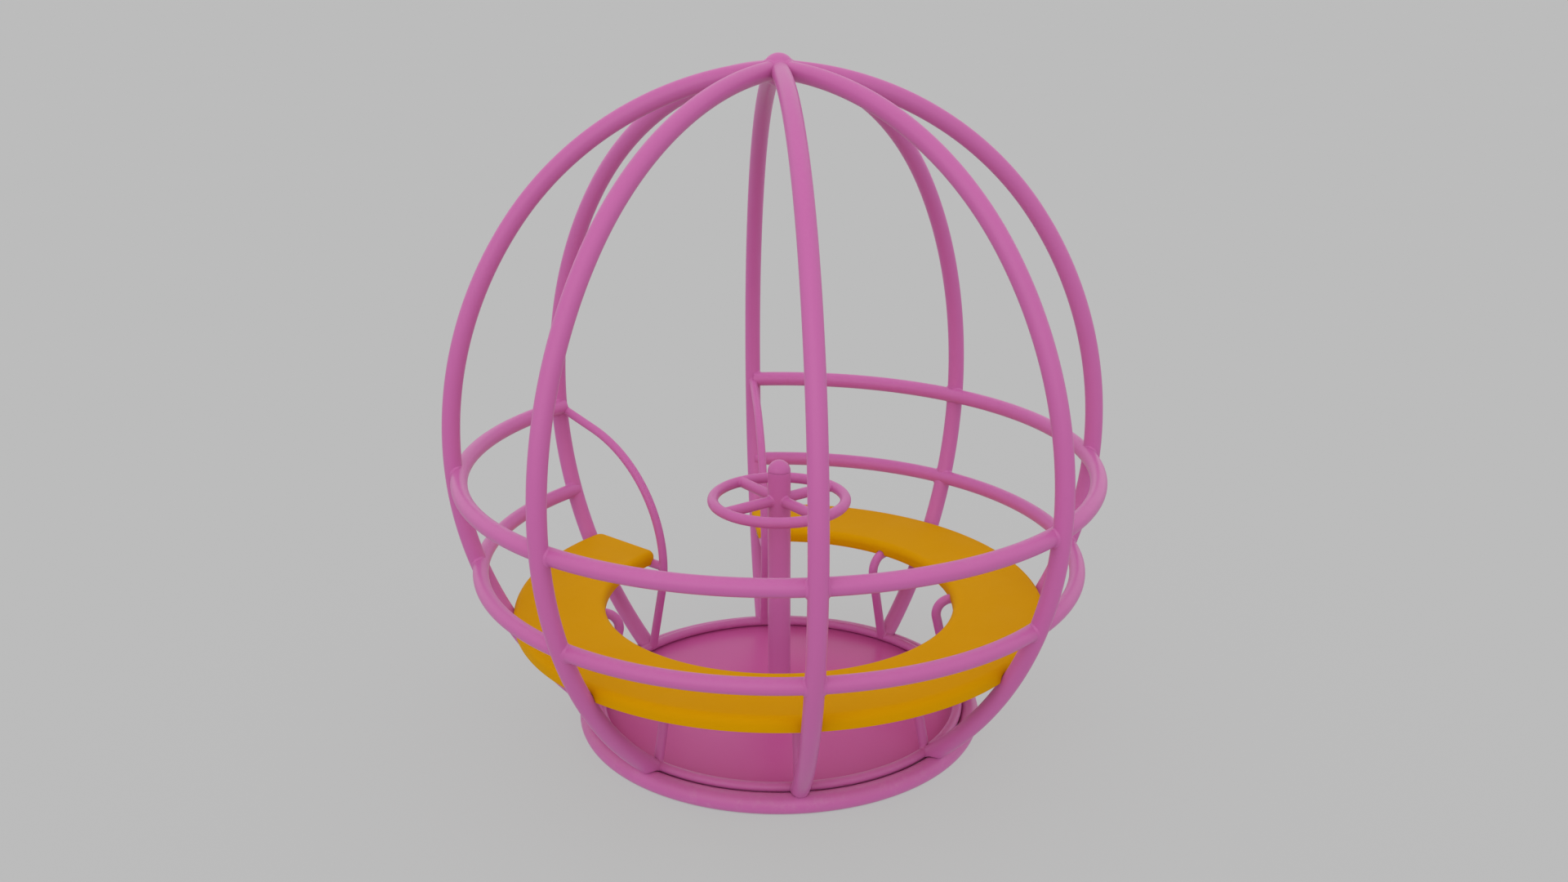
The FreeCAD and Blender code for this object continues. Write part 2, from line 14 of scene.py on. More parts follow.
import bmesh
import bpy
import numpy as np
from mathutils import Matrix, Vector


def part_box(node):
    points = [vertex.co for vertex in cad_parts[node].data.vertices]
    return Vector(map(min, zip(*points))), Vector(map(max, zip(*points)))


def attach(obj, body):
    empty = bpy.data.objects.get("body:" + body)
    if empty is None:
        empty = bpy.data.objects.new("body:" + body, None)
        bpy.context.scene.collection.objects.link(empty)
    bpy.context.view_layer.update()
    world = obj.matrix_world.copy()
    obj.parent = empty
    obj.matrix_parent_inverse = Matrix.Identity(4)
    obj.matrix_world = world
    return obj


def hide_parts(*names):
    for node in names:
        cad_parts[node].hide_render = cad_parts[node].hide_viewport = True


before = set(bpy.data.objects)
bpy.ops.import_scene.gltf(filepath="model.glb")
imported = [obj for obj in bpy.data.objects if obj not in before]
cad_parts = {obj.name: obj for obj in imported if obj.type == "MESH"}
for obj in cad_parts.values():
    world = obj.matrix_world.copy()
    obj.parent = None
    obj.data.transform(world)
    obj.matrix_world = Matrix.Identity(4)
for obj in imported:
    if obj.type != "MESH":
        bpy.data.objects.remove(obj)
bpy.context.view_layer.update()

log = logging.getLogger("merry_go_round")

BAYS = 8
BAY = 360.0 / BAYS
RIB_ANGLES = [-90.0 + BAY / 2 + BAY * index for index in range(BAYS)]
UP = np.array([0.0, 0.0, 1.0])
SIDEWAYS = np.array([0.0, 1.0, 0.0])


class Body(Enum):
    """Rigid bodies that new pieces ride on."""

    BASE = "base"
    CAGE = "cage"


class Slot(Enum):
    """Material slots of the record."""

    PINK = "pink_paint"
    DECK = "deck_paint"
    SEAT = "seat_plastic"
    ZINC = "zinc_steel"
    BEARING = "bearing_steel"
    RUBBER = "seal_rubber"


# ---------------------------------------------------------------------------- shader maths
Number = Union[float, "Value"]


class Value:
    """One number that changes over a surface, with Python arithmetic."""

    def __init__(self, graph: "Graph", socket: bpy.types.NodeSocket) -> None:
        """Wrap an output socket.

        Args:
            graph: Graph that the socket is in.
            socket: Output socket to carry on from.
        """
        self.graph = graph
        self.socket = socket

    def _math(self, operation: str, first: Number, second: Number = 0.0, clamp: bool = False) -> "Value":
        """Add one Math node."""
        return self.graph.node("ShaderNodeMath", {"operation": operation, "use_clamp": clamp},
                               {0: first, 1: second})

    def __add__(self, other: Number) -> "Value":
        """Sum."""
        return self._math("ADD", self, other)

    def __sub__(self, other: Number) -> "Value":
        """Difference."""
        return self._math("SUBTRACT", self, other)

    def __rsub__(self, other: Number) -> "Value":
        """Difference from a number."""
        return self._math("SUBTRACT", other, self)

    def __mul__(self, other: Number) -> "Value":
        """Product."""
        return self._math("MULTIPLY", self, other)

    def __truediv__(self, other: Number) -> "Value":
        """Quotient."""
        return self._math("DIVIDE", self, other)

    __radd__ = __add__
    __rmul__ = __mul__

    def clamped(self) -> "Value":
        """The value kept between 0 and 1."""
        return self._math("ADD", self, 0.0, clamp=True)

    def step(self, low: float, high: float) -> "Value":
        """Smooth rise from 0 at `low` to 1 at `high`.

        Args:
            low: Value where the rise starts.
            high: Value where it ends; it may be below `low` for a fall.

        Returns:
            The rise, between 0 and 1.
        """
        ramp = ((self - low) / (high - low)).clamped()
        return ramp * ramp * (3.0 - 2.0 * ramp)


class Graph:
    """Node tree of one material."""

    def __init__(self, name: str) -> None:
        """Start an empty material.

        Args:
            name: Name of the material.
        """
        self.material = bpy.data.materials.new(name)
        self.material.use_nodes = True
        self.tree = self.material.node_tree
        self.tree.nodes.clear()
        self._place: Value | None = None

    def node(self, kind: str, settings: dict | None = None, inputs: dict | None = None,
             output: int | str = 0) -> Value:
        """Add a node.

        Args:
            kind: Type of the node.
            settings: Settings of the node, made first.
            inputs: Values or links of its sockets, by name or number.
            output: Output to carry on from.

        Returns:
            The chosen output.
        """
        made = self.tree.nodes.new(kind)
        for key, value in (settings or {}).items():
            setattr(made, key, value)
        for key, value in (inputs or {}).items():
            if isinstance(value, Value):
                self.tree.links.new(value.socket, made.inputs[key])
            else:
                made.inputs[key].default_value = value
        return Value(self, made.outputs[output])

    def place(self) -> Value:
        """Position on the piece, in metres.

        Returns:
            The position.
        """
        if self._place is None:
            self._place = self.node("ShaderNodeTexCoord", output="Object")
        return self._place

    def stretched(self, scale: Sequence[float]) -> Value:
        """Position on the piece, scaled along each axis."""
        return self.node("ShaderNodeVectorMath", {"operation": "MULTIPLY"},
                         {0: self.place(), 1: tuple(scale)})

    def noise(self, scale: float, detail: float = 2.0, rough: float = 0.5,
              where: Value | None = None) -> Value:
        """Soft noise from 0 to 1.

        Args:
            scale: Cells in a metre.
            detail: Octaves.
            rough: Strength of the fine octaves.
            where: Position to read it at; the piece's own by default.

        Returns:
            The noise.
        """
        return self.node("ShaderNodeTexNoise", None,
                         {"Vector": where or self.place(), "Scale": scale, "Detail": detail,
                          "Roughness": rough})

    def cells(self, scale: float, feature: str = "F1", where: Value | None = None) -> Value:
        """Distance to the nearest cell centre or edge, in cells."""
        return self.node("ShaderNodeTexVoronoi", {"feature": feature},
                         {"Vector": where or self.place(), "Scale": scale})

    def facing_up(self) -> Value:
        """1 on surfaces that face up, 0 on those that face sideways, -1 underneath.

        Returns:
            The upward share of the normal.
        """
        normal = self.node("ShaderNodeNewGeometry", output="Normal")
        return self.node("ShaderNodeVectorMath", {"operation": "DOT_PRODUCT"},
                         {0: normal, 1: (0.0, 0.0, 1.0)}, output="Value")

    def height(self) -> Value:
        """Height of the surface above the ground."""
        return self.node("ShaderNodeSeparateXYZ", None, {0: self.place()}, output="Z")

    def radius(self) -> Value:
        """Distance of the surface from the axis of rotation.

        Returns:
            The distance, in metres.
        """
        flat = self.node("ShaderNodeVectorMath", {"operation": "MULTIPLY"},
                         {0: self.place(), 1: (1.0, 1.0, 0.0)})
        return self.node("ShaderNodeVectorMath", {"operation": "LENGTH"}, {0: flat}, output="Value")

    def mixed(self, share: Number, first: "Value | tuple", second: "Value | tuple") -> Value:
        """Mix two colours.

        Args:
            share: Share of the second, from 0 to 1.
            first: A colour or a link.
            second: A colour or a link.

        Returns:
            The mixed colour.
        """
        made = self.tree.nodes.new("ShaderNodeMix")
        made.data_type = "RGBA"
        for socket, value in ((made.inputs[0], share), (made.inputs[6], first), (made.inputs[7], second)):
            if isinstance(value, Value):
                self.tree.links.new(value.socket, socket)
            else:
                socket.default_value = value
        return Value(self, made.outputs[2])

    def bump(self, height: Value, distance: float, strength: float = 1.0, over: Value | None = None) -> Value:
        """Turn a height into a normal.

        Args:
            height: Height from 0 to 1.
            distance: Real height of 1, in metres.
            strength: Share of the effect.
            over: Normal to add it to.

        Returns:
            The normal.
        """
        inputs: dict = {"Height": height, "Distance": distance, "Strength": strength}
        if over is not None:
            inputs["Normal"] = over
        return self.node("ShaderNodeBump", None, inputs)

    def surface(self, varying: dict, constant: dict) -> bpy.types.Material:
        """Close the graph with a Principled shader.

        Args:
            varying: Links of the sockets that change over the surface.
            constant: Numbers and colours of the others.

        Returns:
            The finished material.
        """
        shader = self.node("ShaderNodeBsdfPrincipled", None, {**constant, **varying})
        output = self.tree.nodes.new("ShaderNodeOutputMaterial")
        self.tree.links.new(shader.socket, output.inputs["Surface"])
        return self.material


# ---------------------------------------------------------------------------- finishes
Colour = tuple[float, float, float, float]


@dataclass(frozen=True)
class PowderCoat:
    """Gloss powder coat on steel tube: orange peel, light dust on top and soft handling marks."""

    name: str
    colour: Colour
    shade: Colour
    dust: Colour = (0.62, 0.36, 0.48, 1.0)
    gloss: float = 0.36
    peel_scale: float = 260.0
    peel_depth: float = 0.00012
    dust_share: float = 0.06

    def material(self) -> bpy.types.Material:
        """Make the material.

        Returns:
            The finished material.
        """
        graph = Graph(self.name)
        cloud = graph.noise(5.0, 3.0)
        fine = graph.noise(90.0, 4.0, 0.6)
        base = graph.mixed(cloud.step(0.35, 0.75) * 0.45, self.colour, self.shade)
        settled = graph.facing_up().step(0.35, 1.0) * fine.step(0.35, 0.72) * self.dust_share
        splash = graph.height().step(0.11, 0.02) * graph.noise(38.0, 5.0, 0.7).step(0.5, 0.72) * 0.16
        colour = graph.mixed((settled + splash).clamped(), base, self.dust)
        scuff = graph.noise(24.0, 6.0, 0.75, graph.stretched((1.0, 1.0, 0.35))).step(0.56, 0.70)
        rough = self.gloss + (fine - 0.5) * 0.06 + scuff * 0.07 + settled * 0.5
        peel = graph.bump(graph.noise(self.peel_scale, 2.0, 0.4), self.peel_depth, 0.55)
        normal = graph.bump(scuff * graph.noise(900.0, 1.0), 0.00002, 0.5, peel)
        return graph.surface({"Base Color": colour, "Roughness": rough, "Normal": normal},
                             {"IOR": 1.5, "Specular IOR Level": 0.30, "Coat Weight": 0.04,
                              "Coat Roughness": 0.20})


@dataclass(frozen=True)
class DeckPaint:
    """Gloss paint on the flat deck: slow waves of sheet metal, foot scuffs and fine grit."""

    name: str
    colour: Colour
    worn: Colour
    gloss: float = 0.30

    def material(self) -> bpy.types.Material:
        """Make the material.

        Returns:
            The finished material.
        """
        graph = Graph(self.name)
        ring = graph.radius()
        traffic = ring.step(0.10, 0.22) * ring.step(0.50, 0.36)
        smear = graph.noise(9.0, 6.0, 0.68)
        scratch = graph.cells(30.0, "DISTANCE_TO_EDGE", graph.stretched((1.0, 0.25, 1.0)))
        marks = scratch.step(0.012, 0.0) * smear.step(0.48, 0.62) * traffic
        dull = smear.step(0.42, 0.72) * traffic
        colour = graph.mixed((dull * 0.25 + marks * 0.3).clamped(), self.colour, self.worn)
        rough = self.gloss + dull * 0.04 + marks * 0.10
        waves = graph.bump(graph.noise(4.5, 1.0), 0.0016, 0.35)
        peel = graph.bump(graph.noise(210.0, 2.0, 0.4), 0.0001, 0.5, waves)
        normal = graph.bump(marks, 0.00004, 0.6, peel)
        return graph.surface({"Base Color": colour, "Roughness": rough, "Normal": normal},
                             {"IOR": 1.5, "Specular IOR Level": 0.12, "Coat Weight": 0.03,
                              "Coat Roughness": 0.15})


@dataclass(frozen=True)
class MouldedPlastic:
    """Rotationally moulded plastic: fine stipple, slow colour drift and a rubbed seat top."""

    name: str
    colour: Colour
    deep: Colour
    rubbed: Colour

    def material(self) -> bpy.types.Material:
        """Make the material.

        Returns:
            The finished material.
        """
        graph = Graph(self.name)
        drift = graph.noise(3.2, 3.0)
        speck = graph.noise(420.0, 2.0, 0.5)
        wear = graph.facing_up().step(0.8, 1.0) * graph.noise(7.0, 5.0, 0.62).step(0.44, 0.66)
        base = graph.mixed(drift.step(0.38, 0.72) * 0.5, self.colour, self.deep)
        grained = graph.mixed(speck.step(0.55, 0.75) * 0.18, base, self.deep)
        colour = graph.mixed(wear * 0.22, grained, self.rubbed)
        rough = 0.58 - wear * 0.06 + (speck - 0.5) * 0.08
        stipple = graph.bump(graph.noise(620.0, 2.0, 0.5), 0.00012, 0.5)
        normal = graph.bump(graph.noise(11.0, 1.0), 0.0006, 0.25, stipple)
        return graph.surface({"Base Color": colour, "Roughness": rough, "Normal": normal},
                             {"IOR": 1.49, "Specular IOR Level": 0.02})


@dataclass(frozen=True)
class ZincPlate:
    """Bright zinc plate on fasteners: fine spangle and dulled patches."""

    name: str
    colour: Colour = (0.60, 0.61, 0.62, 1.0)
    dulled: Colour = (0.38, 0.38, 0.37, 1.0)

    def material(self) -> bpy.types.Material:
        """Make the material.

        Returns:
            The finished material.
        """
        graph = Graph(self.name)
        spangle = graph.cells(700.0)
        patch = graph.noise(140.0, 4.0, 0.6).step(0.42, 0.68)
        colour = graph.mixed(patch * 0.6 + spangle * 0.15, self.colour, self.dulled)
        rough = 0.28 + patch * 0.18 + spangle * 0.08
        normal = graph.bump(graph.noise(1200.0, 2.0), 0.00003, 0.5)
        return graph.surface({"Base Color": colour, "Roughness": rough, "Normal": normal},
                             {"Metallic": 0.9})


@dataclass(frozen=True)
class GroundSteel:
    """Ground bearing steel with a film of grease: fine turning lines."""

    name: str
    colour: Colour = (0.58, 0.58, 0.60, 1.0)
    grease: Colour = (0.34, 0.27, 0.14, 1.0)

    def material(self) -> bpy.types.Material:
        """Make the material.

        Returns:
            The finished material.
        """
        graph = Graph(self.name)
        lines = graph.noise(1.0, 2.0, 0.5, graph.stretched((60.0, 60.0, 4000.0)))
        film = graph.noise(60.0, 3.0, 0.6).step(0.48, 0.70)
        colour = graph.mixed(film * 0.5, self.colour, self.grease)
        rough = 0.16 + lines * 0.10 + film * 0.15
        normal = graph.bump(lines, 0.00001, 0.6)
        return graph.surface({"Base Color": colour, "Roughness": rough, "Normal": normal},
                             {"Metallic": 1.0})


@dataclass(frozen=True)
class SealRubber:
    """Black nitrile rubber with a matt, slightly dusty skin."""

    name: str
    colour: Colour = (0.018, 0.018, 0.019, 1.0)
    bloom: Colour = (0.10, 0.095, 0.09, 1.0)

    def material(self) -> bpy.types.Material:
        """Make the material.

        Returns:
            The finished material.
        """
        graph = Graph(self.name)
        bloom = graph.noise(160.0, 4.0, 0.6).step(0.45, 0.75)
        colour = graph.mixed(bloom * 0.4, self.colour, self.bloom)
        normal = graph.bump(graph.noise(900.0, 2.0), 0.00004, 0.6)
        return graph.surface({"Base Color": colour, "Roughness": 0.62 + bloom * 0.2, "Normal": normal}, {})


@dataclass(frozen=True)
class StudioFloor:
    """Plain pale glowing floor with a trace of tone, and a painted shadow: its glow drops to the dark tone
    under the object.
    """

    name: str
    colour: Colour = (0.082, 0.082, 0.082, 1.0)
    # Dark tone of the floor, and also the dim glow under the object that paints its shadow.
    tone_and_painted_shadow: Colour = (0.078, 0.078, 0.078, 1.0)
    glow: Colour = (0.428, 0.428, 0.428, 1.0)

    def material(self) -> bpy.types.Material:
        """Make the material.

        Returns:
            The finished material.
        """
        graph = Graph(self.name)
        colour = graph.mixed(graph.noise(0.6, 3.0), self.colour, self.tone_and_painted_shadow)
        # Painted shadow: inside a radius of 0.53 m, under the object, the floor's glow falls to the dark
        # tone.
        under = graph.radius().step(0.56, 0.53)
        glow = graph.mixed(under, self.glow, self.tone_and_painted_shadow)
        return graph.surface({"Base Color": colour, "Emission Color": glow},
                             {"Roughness": 1.0, "Specular IOR Level": 0.0, "Emission Strength": 1.0})


class Palette:
    """Every finish of the object, made once."""

    def __init__(self) -> None:
        """Make the materials."""
        pink: Colour = (0.580, 0.138, 0.398, 1.0)
        pink_shade: Colour = (0.565, 0.131, 0.384, 1.0)
        self._made: dict[Slot, bpy.types.Material] = {
            Slot.PINK: PowderCoat("pink_powder_coat", pink, pink_shade).material(),
            Slot.DECK: DeckPaint("deck_gloss_paint", (0.590, 0.103, 0.350, 1.0),
                                 (0.605, 0.120, 0.370, 1.0)).material(),
            Slot.SEAT: MouldedPlastic("yellow_moulded_plastic", (0.700, 0.335, 0.0, 1.0),
                                      (0.680, 0.322, 0.0, 1.0), (0.710, 0.345, 0.0, 1.0)).material(),
            Slot.ZINC: ZincPlate("zinc_plate").material(),
            Slot.BEARING: GroundSteel("ground_steel").material(),
            Slot.RUBBER: SealRubber("seal_rubber_black").material(),
        }

    def of(self, slot: Slot) -> bpy.types.Material:
        """Material of a slot."""
        return self._made[slot]


# ---------------------------------------------------------------------------- lines and surfaces
def turn(points: np.ndarray, angle: float) -> np.ndarray:
    """Turn points about the Z axis.

    Args:
        points: Array whose last axis is x, y, z.
        angle: Degrees.

    Returns:
        The turned points.
    """
    c, s = cos(radians(angle)), sin(radians(angle))
    return points @ np.array([[c, s, 0.0], [-s, c, 0.0], [0.0, 0.0, 1.0]])


def unit(vectors: np.ndarray) -> np.ndarray:
    """Vectors of length 1."""
    return vectors / np.maximum(np.linalg.norm(vectors, axis=-1, keepdims=True), 1e-12)


@dataclass(frozen=True)
class Line:
    """Centreline of a tube that lies in one plane."""

    points: np.ndarray
    along: np.ndarray
    across: np.ndarray
    closed: bool = False

    @staticmethod
    def straight(start: Sequence[float], end: Sequence[float], step: float,
                 across: np.ndarray = SIDEWAYS) -> "Line":
        """Straight run.

        Args:
            start: First point.
            end: Last point.
            step: Longest gap between points.
            across: Normal of the line's plane.

        Returns:
            The run.
        """
        first, last = np.array(start, float), np.array(end, float)
        count = max(2, int(np.ceil(np.linalg.norm(last - first) / step)) + 1)
        share = np.linspace(0.0, 1.0, count)[:, None]
        return Line(first + (last - first) * share, np.tile(unit(last - first), (count, 1)), across)

    @staticmethod
    def arc(centre: Sequence[float], radius: float, start: float, end: float, step: float) -> "Line":
        """Arc in the XZ plane.

        Args:
            centre: Centre of the arc, as x and z.
            radius: Radius of the arc.
            start: First angle above the horizontal, in degrees.
            end: Last angle.
            step: Longest gap between points.

        Returns:
            The arc.
        """
        count = max(3, int(np.ceil(radius * abs(radians(end - start)) / step)) + 1)
        angle = np.radians(np.linspace(start, end, count))
        flat = np.zeros(count)
        points = np.stack([centre[0] + radius * np.cos(angle), flat,
                           centre[1] + radius * np.sin(angle)], 1)
        way = 1.0 if end > start else -1.0
        return Line(points, way * np.stack([-np.sin(angle), flat, np.cos(angle)], 1), SIDEWAYS)

    @staticmethod
    def level(radius: float, height: float, start: float, sweep: float, step: float) -> "Line":
        """Level arc about the Z axis, closed where it goes all the way round.

        Args:
            radius: Radius of the arc.
            height: Its height.
            start: First angle, in degrees.
            sweep: Degrees that it goes round.
            step: Longest gap between points.

        Returns:
            The arc.
        """
        closed = abs(sweep) >= 360.0
        count = max(3, int(np.ceil(radius * abs(radians(sweep)) / step)) + 1)
        angle = np.radians(np.linspace(start, start + sweep, count, endpoint=not closed))
        level = np.full(count, height)
        points = np.stack([radius * np.cos(angle), radius * np.sin(angle), level], 1)
        way = 1.0 if sweep > 0 else -1.0
        along = way * np.stack([-np.sin(angle), np.cos(angle), np.zeros(count)], 1)
        return Line(points, along, UP, closed)

    def __add__(self, other: "Line") -> "Line":
        """This line and another that carries on from its end."""
        return Line(np.concatenate([self.points, other.points[1:]]),
                    np.concatenate([self.along, other.along[1:]]), self.across)

    def reversed(self) -> "Line":
        """The line from its end to its start."""
        return Line(self.points[::-1], -self.along[::-1], self.across, self.closed)

    def rings(self, radius: float, sides: int) -> tuple[np.ndarray, np.ndarray]:
        """Surface of a round tube on the line.

        Args:
            radius: Radius of the tube.
            sides: Points round it.

        Returns:
            Points and outward normals, both with one row for each point of the line.
        """
        angle = np.linspace(0.0, 2.0 * pi, sides, endpoint=False)
        out = unit(np.cross(self.across, self.along))
        normal = (out[:, None, :] * np.cos(angle)[None, :, None]
                  + self.across[None, None, :] * np.sin(angle)[None, :, None])
        return self.points[:, None, :] + normal * radius, normal


class Shape(Protocol):
    """Anything whose surface a tube can meet."""

    def gap(self, points: np.ndarray) -> tuple[np.ndarray, np.ndarray]:
        """Distance to the surface, negative inside, and the outward direction."""


@dataclass(frozen=True)
class Rod:
    """Round bar on a line."""

    line: Line
    radius: float

    def gap(self, points: np.ndarray) -> tuple[np.ndarray, np.ndarray]:
        """Distance to the bar's surface, negative inside, and the outward direction.

        Args:
            points: Places to measure from.

        Returns:
            The distances and the directions.
        """
        flat = points.reshape(-1, 3)
        nearest = np.empty_like(flat)
        for start in range(0, len(flat), 2000):
            part = flat[start:start + 2000]
            square = ((part[:, None, :] - self.line.points[None, :, :]) ** 2).sum(2)
            index = square.argmin(1)
            offset = part - self.line.points[index]
            along = self.line.along[index]
            nearest[start:start + 2000] = offset - along * (offset * along).sum(1, keepdims=True)
        away = nearest.reshape(points.shape)
        return np.linalg.norm(away, axis=-1) - self.radius, unit(away)


@dataclass(frozen=True)
class Ball:
    """Round ball."""

    centre: np.ndarray
    radius: float

    def gap(self, points: np.ndarray) -> tuple[np.ndarray, np.ndarray]:
        """Distance to the ball's surface, negative inside, and the outward direction."""
        away = points - self.centre
        return np.linalg.norm(away, axis=-1) - self.radius, unit(away)


@dataclass(frozen=True)
class Hits:
    """Where the long lines of a tube's surface first meet another surface."""

    points: np.ndarray
    outward: np.ndarray
    back: np.ndarray
    other: np.ndarray
    found: np.ndarray


def hits_of(line: Line, radius: float, sides: int, shape: Shape) -> Hits:
    """Follow a tube's surface from its start until it meets a shape.

    Args:
        line: Centreline of the tube, finely divided.
        radius: Radius of the tube.
        sides: Points round it.
        shape: What it meets.

    Returns:
        The places, one for each of the tube's sides.
    """
    points, normals = line.rings(radius, sides)
    gap, away = shape.gap(points)
    inside = gap < 0.0
    found = inside.any(0)
    index = np.where(found, inside.argmax(0), len(points) - 1).clip(1)
    side = np.arange(sides)
    before, after = gap[index - 1, side], gap[index, side]
    share = np.where(found, before / np.where(abs(before - after) < 1e-12, 1.0, before - after), 1.0)
    share = share.clip(0.0, 1.0)[:, None]
    place = points[index - 1, side] * (1 - share) + points[index, side] * share
    return Hits(place, normals[index, side], -line.along[index], away[index, side], found)


# ---------------------------------------------------------------------------- meshes
class Mesh:
    """Points and faces of a piece while it is being made."""

    def __init__(self) -> None:
        """Start with nothing."""
        self.points: list[np.ndarray] = []
        self.faces: list[tuple[int, ...]] = []
        self.count = 0

    def add(self, points: np.ndarray, faces: Iterable[Sequence[int]]) -> None:
        """Add points and the faces between them.

        Args:
            points: New points.
            faces: Faces, which number the new points from 0.
        """
        base = self.count
        self.points.append(np.asarray(points, float).reshape(-1, 3))
        self.count += len(self.points[-1])
        self.faces.extend(tuple(base + corner for corner in face) for face in faces)

    def grid(self, rows: np.ndarray, closed_rows: bool = False, closed_sides: bool = True,
             caps: bool = True) -> None:
        """Add a skin over rows of points.

        Args:
            rows: Array of rows, sides and coordinates.
            closed_rows: Whether the last row runs on into the first.
            closed_sides: Whether each row closes on itself.
            caps: Whether the first and last rows are closed by a face.
        """
        count, sides = rows.shape[:2]
        faces: list[tuple[int, ...]] = []
        for row in range(count if closed_rows else count - 1):
            first, second = row * sides, ((row + 1) % count) * sides
            for side in range(sides if closed_sides else sides - 1):
                after = (side + 1) % sides
                faces.append((first + side, first + after, second + after, second + side))
        if caps and not closed_rows:
            faces.append(tuple(range(sides - 1, -1, -1)))
            faces.append(tuple(range((count - 1) * sides, count * sides)))
        self.add(rows, faces)

    def tube(self, line: Line, radius: float, sides: int) -> None:
        """Add a round tube with closed ends, or a whole ring."""
        self.grid(line.rings(radius, sides)[0], closed_rows=line.closed)

    def lathe(self, profile: Sequence[tuple[float, float]], sides: int) -> None:
        """Add a turned piece about the Z axis.

        Args:
            profile: Radius and height of each corner; a piece with no bore starts and ends on the axis.
            sides: Points round it.
        """
        angle = np.linspace(0.0, 2.0 * pi, sides, endpoint=False)
        outline = [corner for corner in profile if corner[0] > 1e-9]
        open_piece = len(outline) < len(profile)
        rows = np.array([[(r * cos(a), r * sin(a), z) for a in angle] for r, z in outline])
        self.grid(rows, closed_rows=not open_piece, caps=open_piece)

    def turned_copies(self, count: int, first: float) -> "Mesh":
        """Copies spread evenly about the Z axis, as one mesh.

        Args:
            count: How many.
            first: Angle of the first, in degrees.

        Returns:
            The copies.
        """
        made = Mesh()
        points = np.concatenate(self.points)
        for index in range(count):
            made.add(turn(points, first + 360.0 * index / count), self.faces)
        return made

    def moved(self, by: Sequence[float]) -> "Mesh":
        """A copy moved by a vector.

        Args:
            by: The vector.

        Returns:
            The copy.
        """
        made = Mesh()
        made.add(np.concatenate(self.points) + np.array(by, float), self.faces)
        return made

    def turned(self, angle: float) -> "Mesh":
        """A copy turned about the Z axis.

        Args:
            angle: Degrees.

        Returns:
            The copy.
        """
        made = Mesh()
        made.add(turn(np.concatenate(self.points), angle), self.faces)
        return made

    def build(self, name: str, crease: float = 35.0) -> bpy.types.Object:
        """Make the object.

        Args:
            name: Name of the piece.
            crease: Angle between faces that stays a sharp edge, in degrees.

        Returns:
            The object, linked to the scene.
        """
        data = bpy.data.meshes.new(name)
        data.from_pydata(np.concatenate(self.points).tolist(), [], self.faces)
        made = bmesh.new()
        made.from_mesh(data)
        bmesh.ops.recalc_face_normals(made, faces=made.faces)
        made.to_mesh(data)
        made.free()
        data.shade_smooth()
        data.set_sharp_from_angle(angle=radians(crease))
        piece = bpy.data.objects.new(name, data)
        bpy.context.scene.collection.objects.link(piece)
        return piece


def chamfered(corners: Sequence[tuple[float, float]], size: float) -> list[tuple[float, float]]:
    """Round off each corner of a closed profile.

    Args:
        corners: Corners of the profile.
        size: How far along each side the rounding starts.

    Returns:
        The profile with four points in place of each corner.
    """
    made: list[tuple[float, float]] = []
    count = len(corners)
    for index, corner in enumerate(corners):
        here = np.array(corner)
        before, after = np.array(corners[index - 1]), np.array(corners[(index + 1) % count])
        reach = min(size, 0.45 * np.linalg.norm(before - here), 0.45 * np.linalg.norm(after - here))
        start, end = here + unit(before - here) * reach, here + unit(after - here) * reach
        for share in (0.0, 1 / 3, 2 / 3, 1.0):
            point = (1 - share) ** 2 * start + 2 * share * (1 - share) * here + share ** 2 * end
            made.append((float(point[0]), float(point[1])))
    return made


@dataclass(frozen=True)
class Weld:
    """Fillet weld, painted over: a soft bead with a trace of ripples."""

    leg: float = 0.0048
    ripple: float = 0.00022
    pitch: float = 0.0042
    full_angle: float = 0.55
    sides: int = 72

    def bead(self, mesh: Mesh, line: Line, radius: float, shape: Shape) -> None:
        """Add the bead where a tube meets a shape.

        Args:
            mesh: Mesh to add it to.
            line: Centreline of the tube, finely divided, ending inside the shape.
            radius: Radius of the tube.
            shape: What it is welded to.
        """
        hits = hits_of(line, radius, self.sides, shape)
        if not hits.found.any():
            return
        order = np.arange(self.sides)
        whole = bool(hits.found.all())
        if not whole:
            first = int(np.flatnonzero(~hits.found)[-1] + 1)
            order = (order + first) % self.sides
            order = order[hits.found[order]]
        self._skin(mesh, hits, order, whole)

    def _skin(self, mesh: Mesh, hits: Hits, order: np.ndarray, whole: bool) -> None:
        """Add the bead's own surface along the chosen places.

        Args:
            mesh: Mesh to add it to.
            hits: Where the tube's sides meet the other surface.
            order: Sides to follow, in turn.
            whole: Whether the bead closes on itself.
        """
        place, wall, other = hits.points[order], hits.outward[order], hits.other[order]
        back = unit(hits.back[order] - wall * (hits.back[order] * wall).sum(1, keepdims=True))
        climb = unit(wall - other * (wall * other).sum(1, keepdims=True))
        run = np.concatenate([[0.0], np.cumsum(np.linalg.norm(np.diff(place, axis=0), axis=1))])
        size = self.leg + self.ripple * np.cos(2 * pi * run / self.pitch)
        if not whole:
            taper = np.minimum(np.arange(len(order)), np.arange(len(order))[::-1]) / 4.0
            size = size * np.clip(taper, 0.15, 1.0)
        apart = np.linalg.norm(np.cross(wall, other), axis=1)
        size = (size * np.clip(apart / self.full_angle, 0.05, 1.0))[:, None]
        toe, foot = place + back * size, place + climb * size
        crown = place + (back + climb) * size * 0.42
        rows = [toe - wall * 0.0004]
        for share in (0.1, 0.3, 0.5, 0.7, 0.9):
            rows.append((1 - share) ** 2 * toe + 2 * share * (1 - share) * crown + share ** 2 * foot)
        rows += [foot - other * 0.0004, place - (wall + other) * 0.0012]
        mesh.grid(np.stack(rows, 1), closed_rows=whole, closed_sides=True, caps=not whole)


# ---------------------------------------------------------------------------- pieces and dressing
def span(node: str) -> tuple[Vector, Vector]:
    """Lowest and highest corner of a node of the frame."""
    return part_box(node)


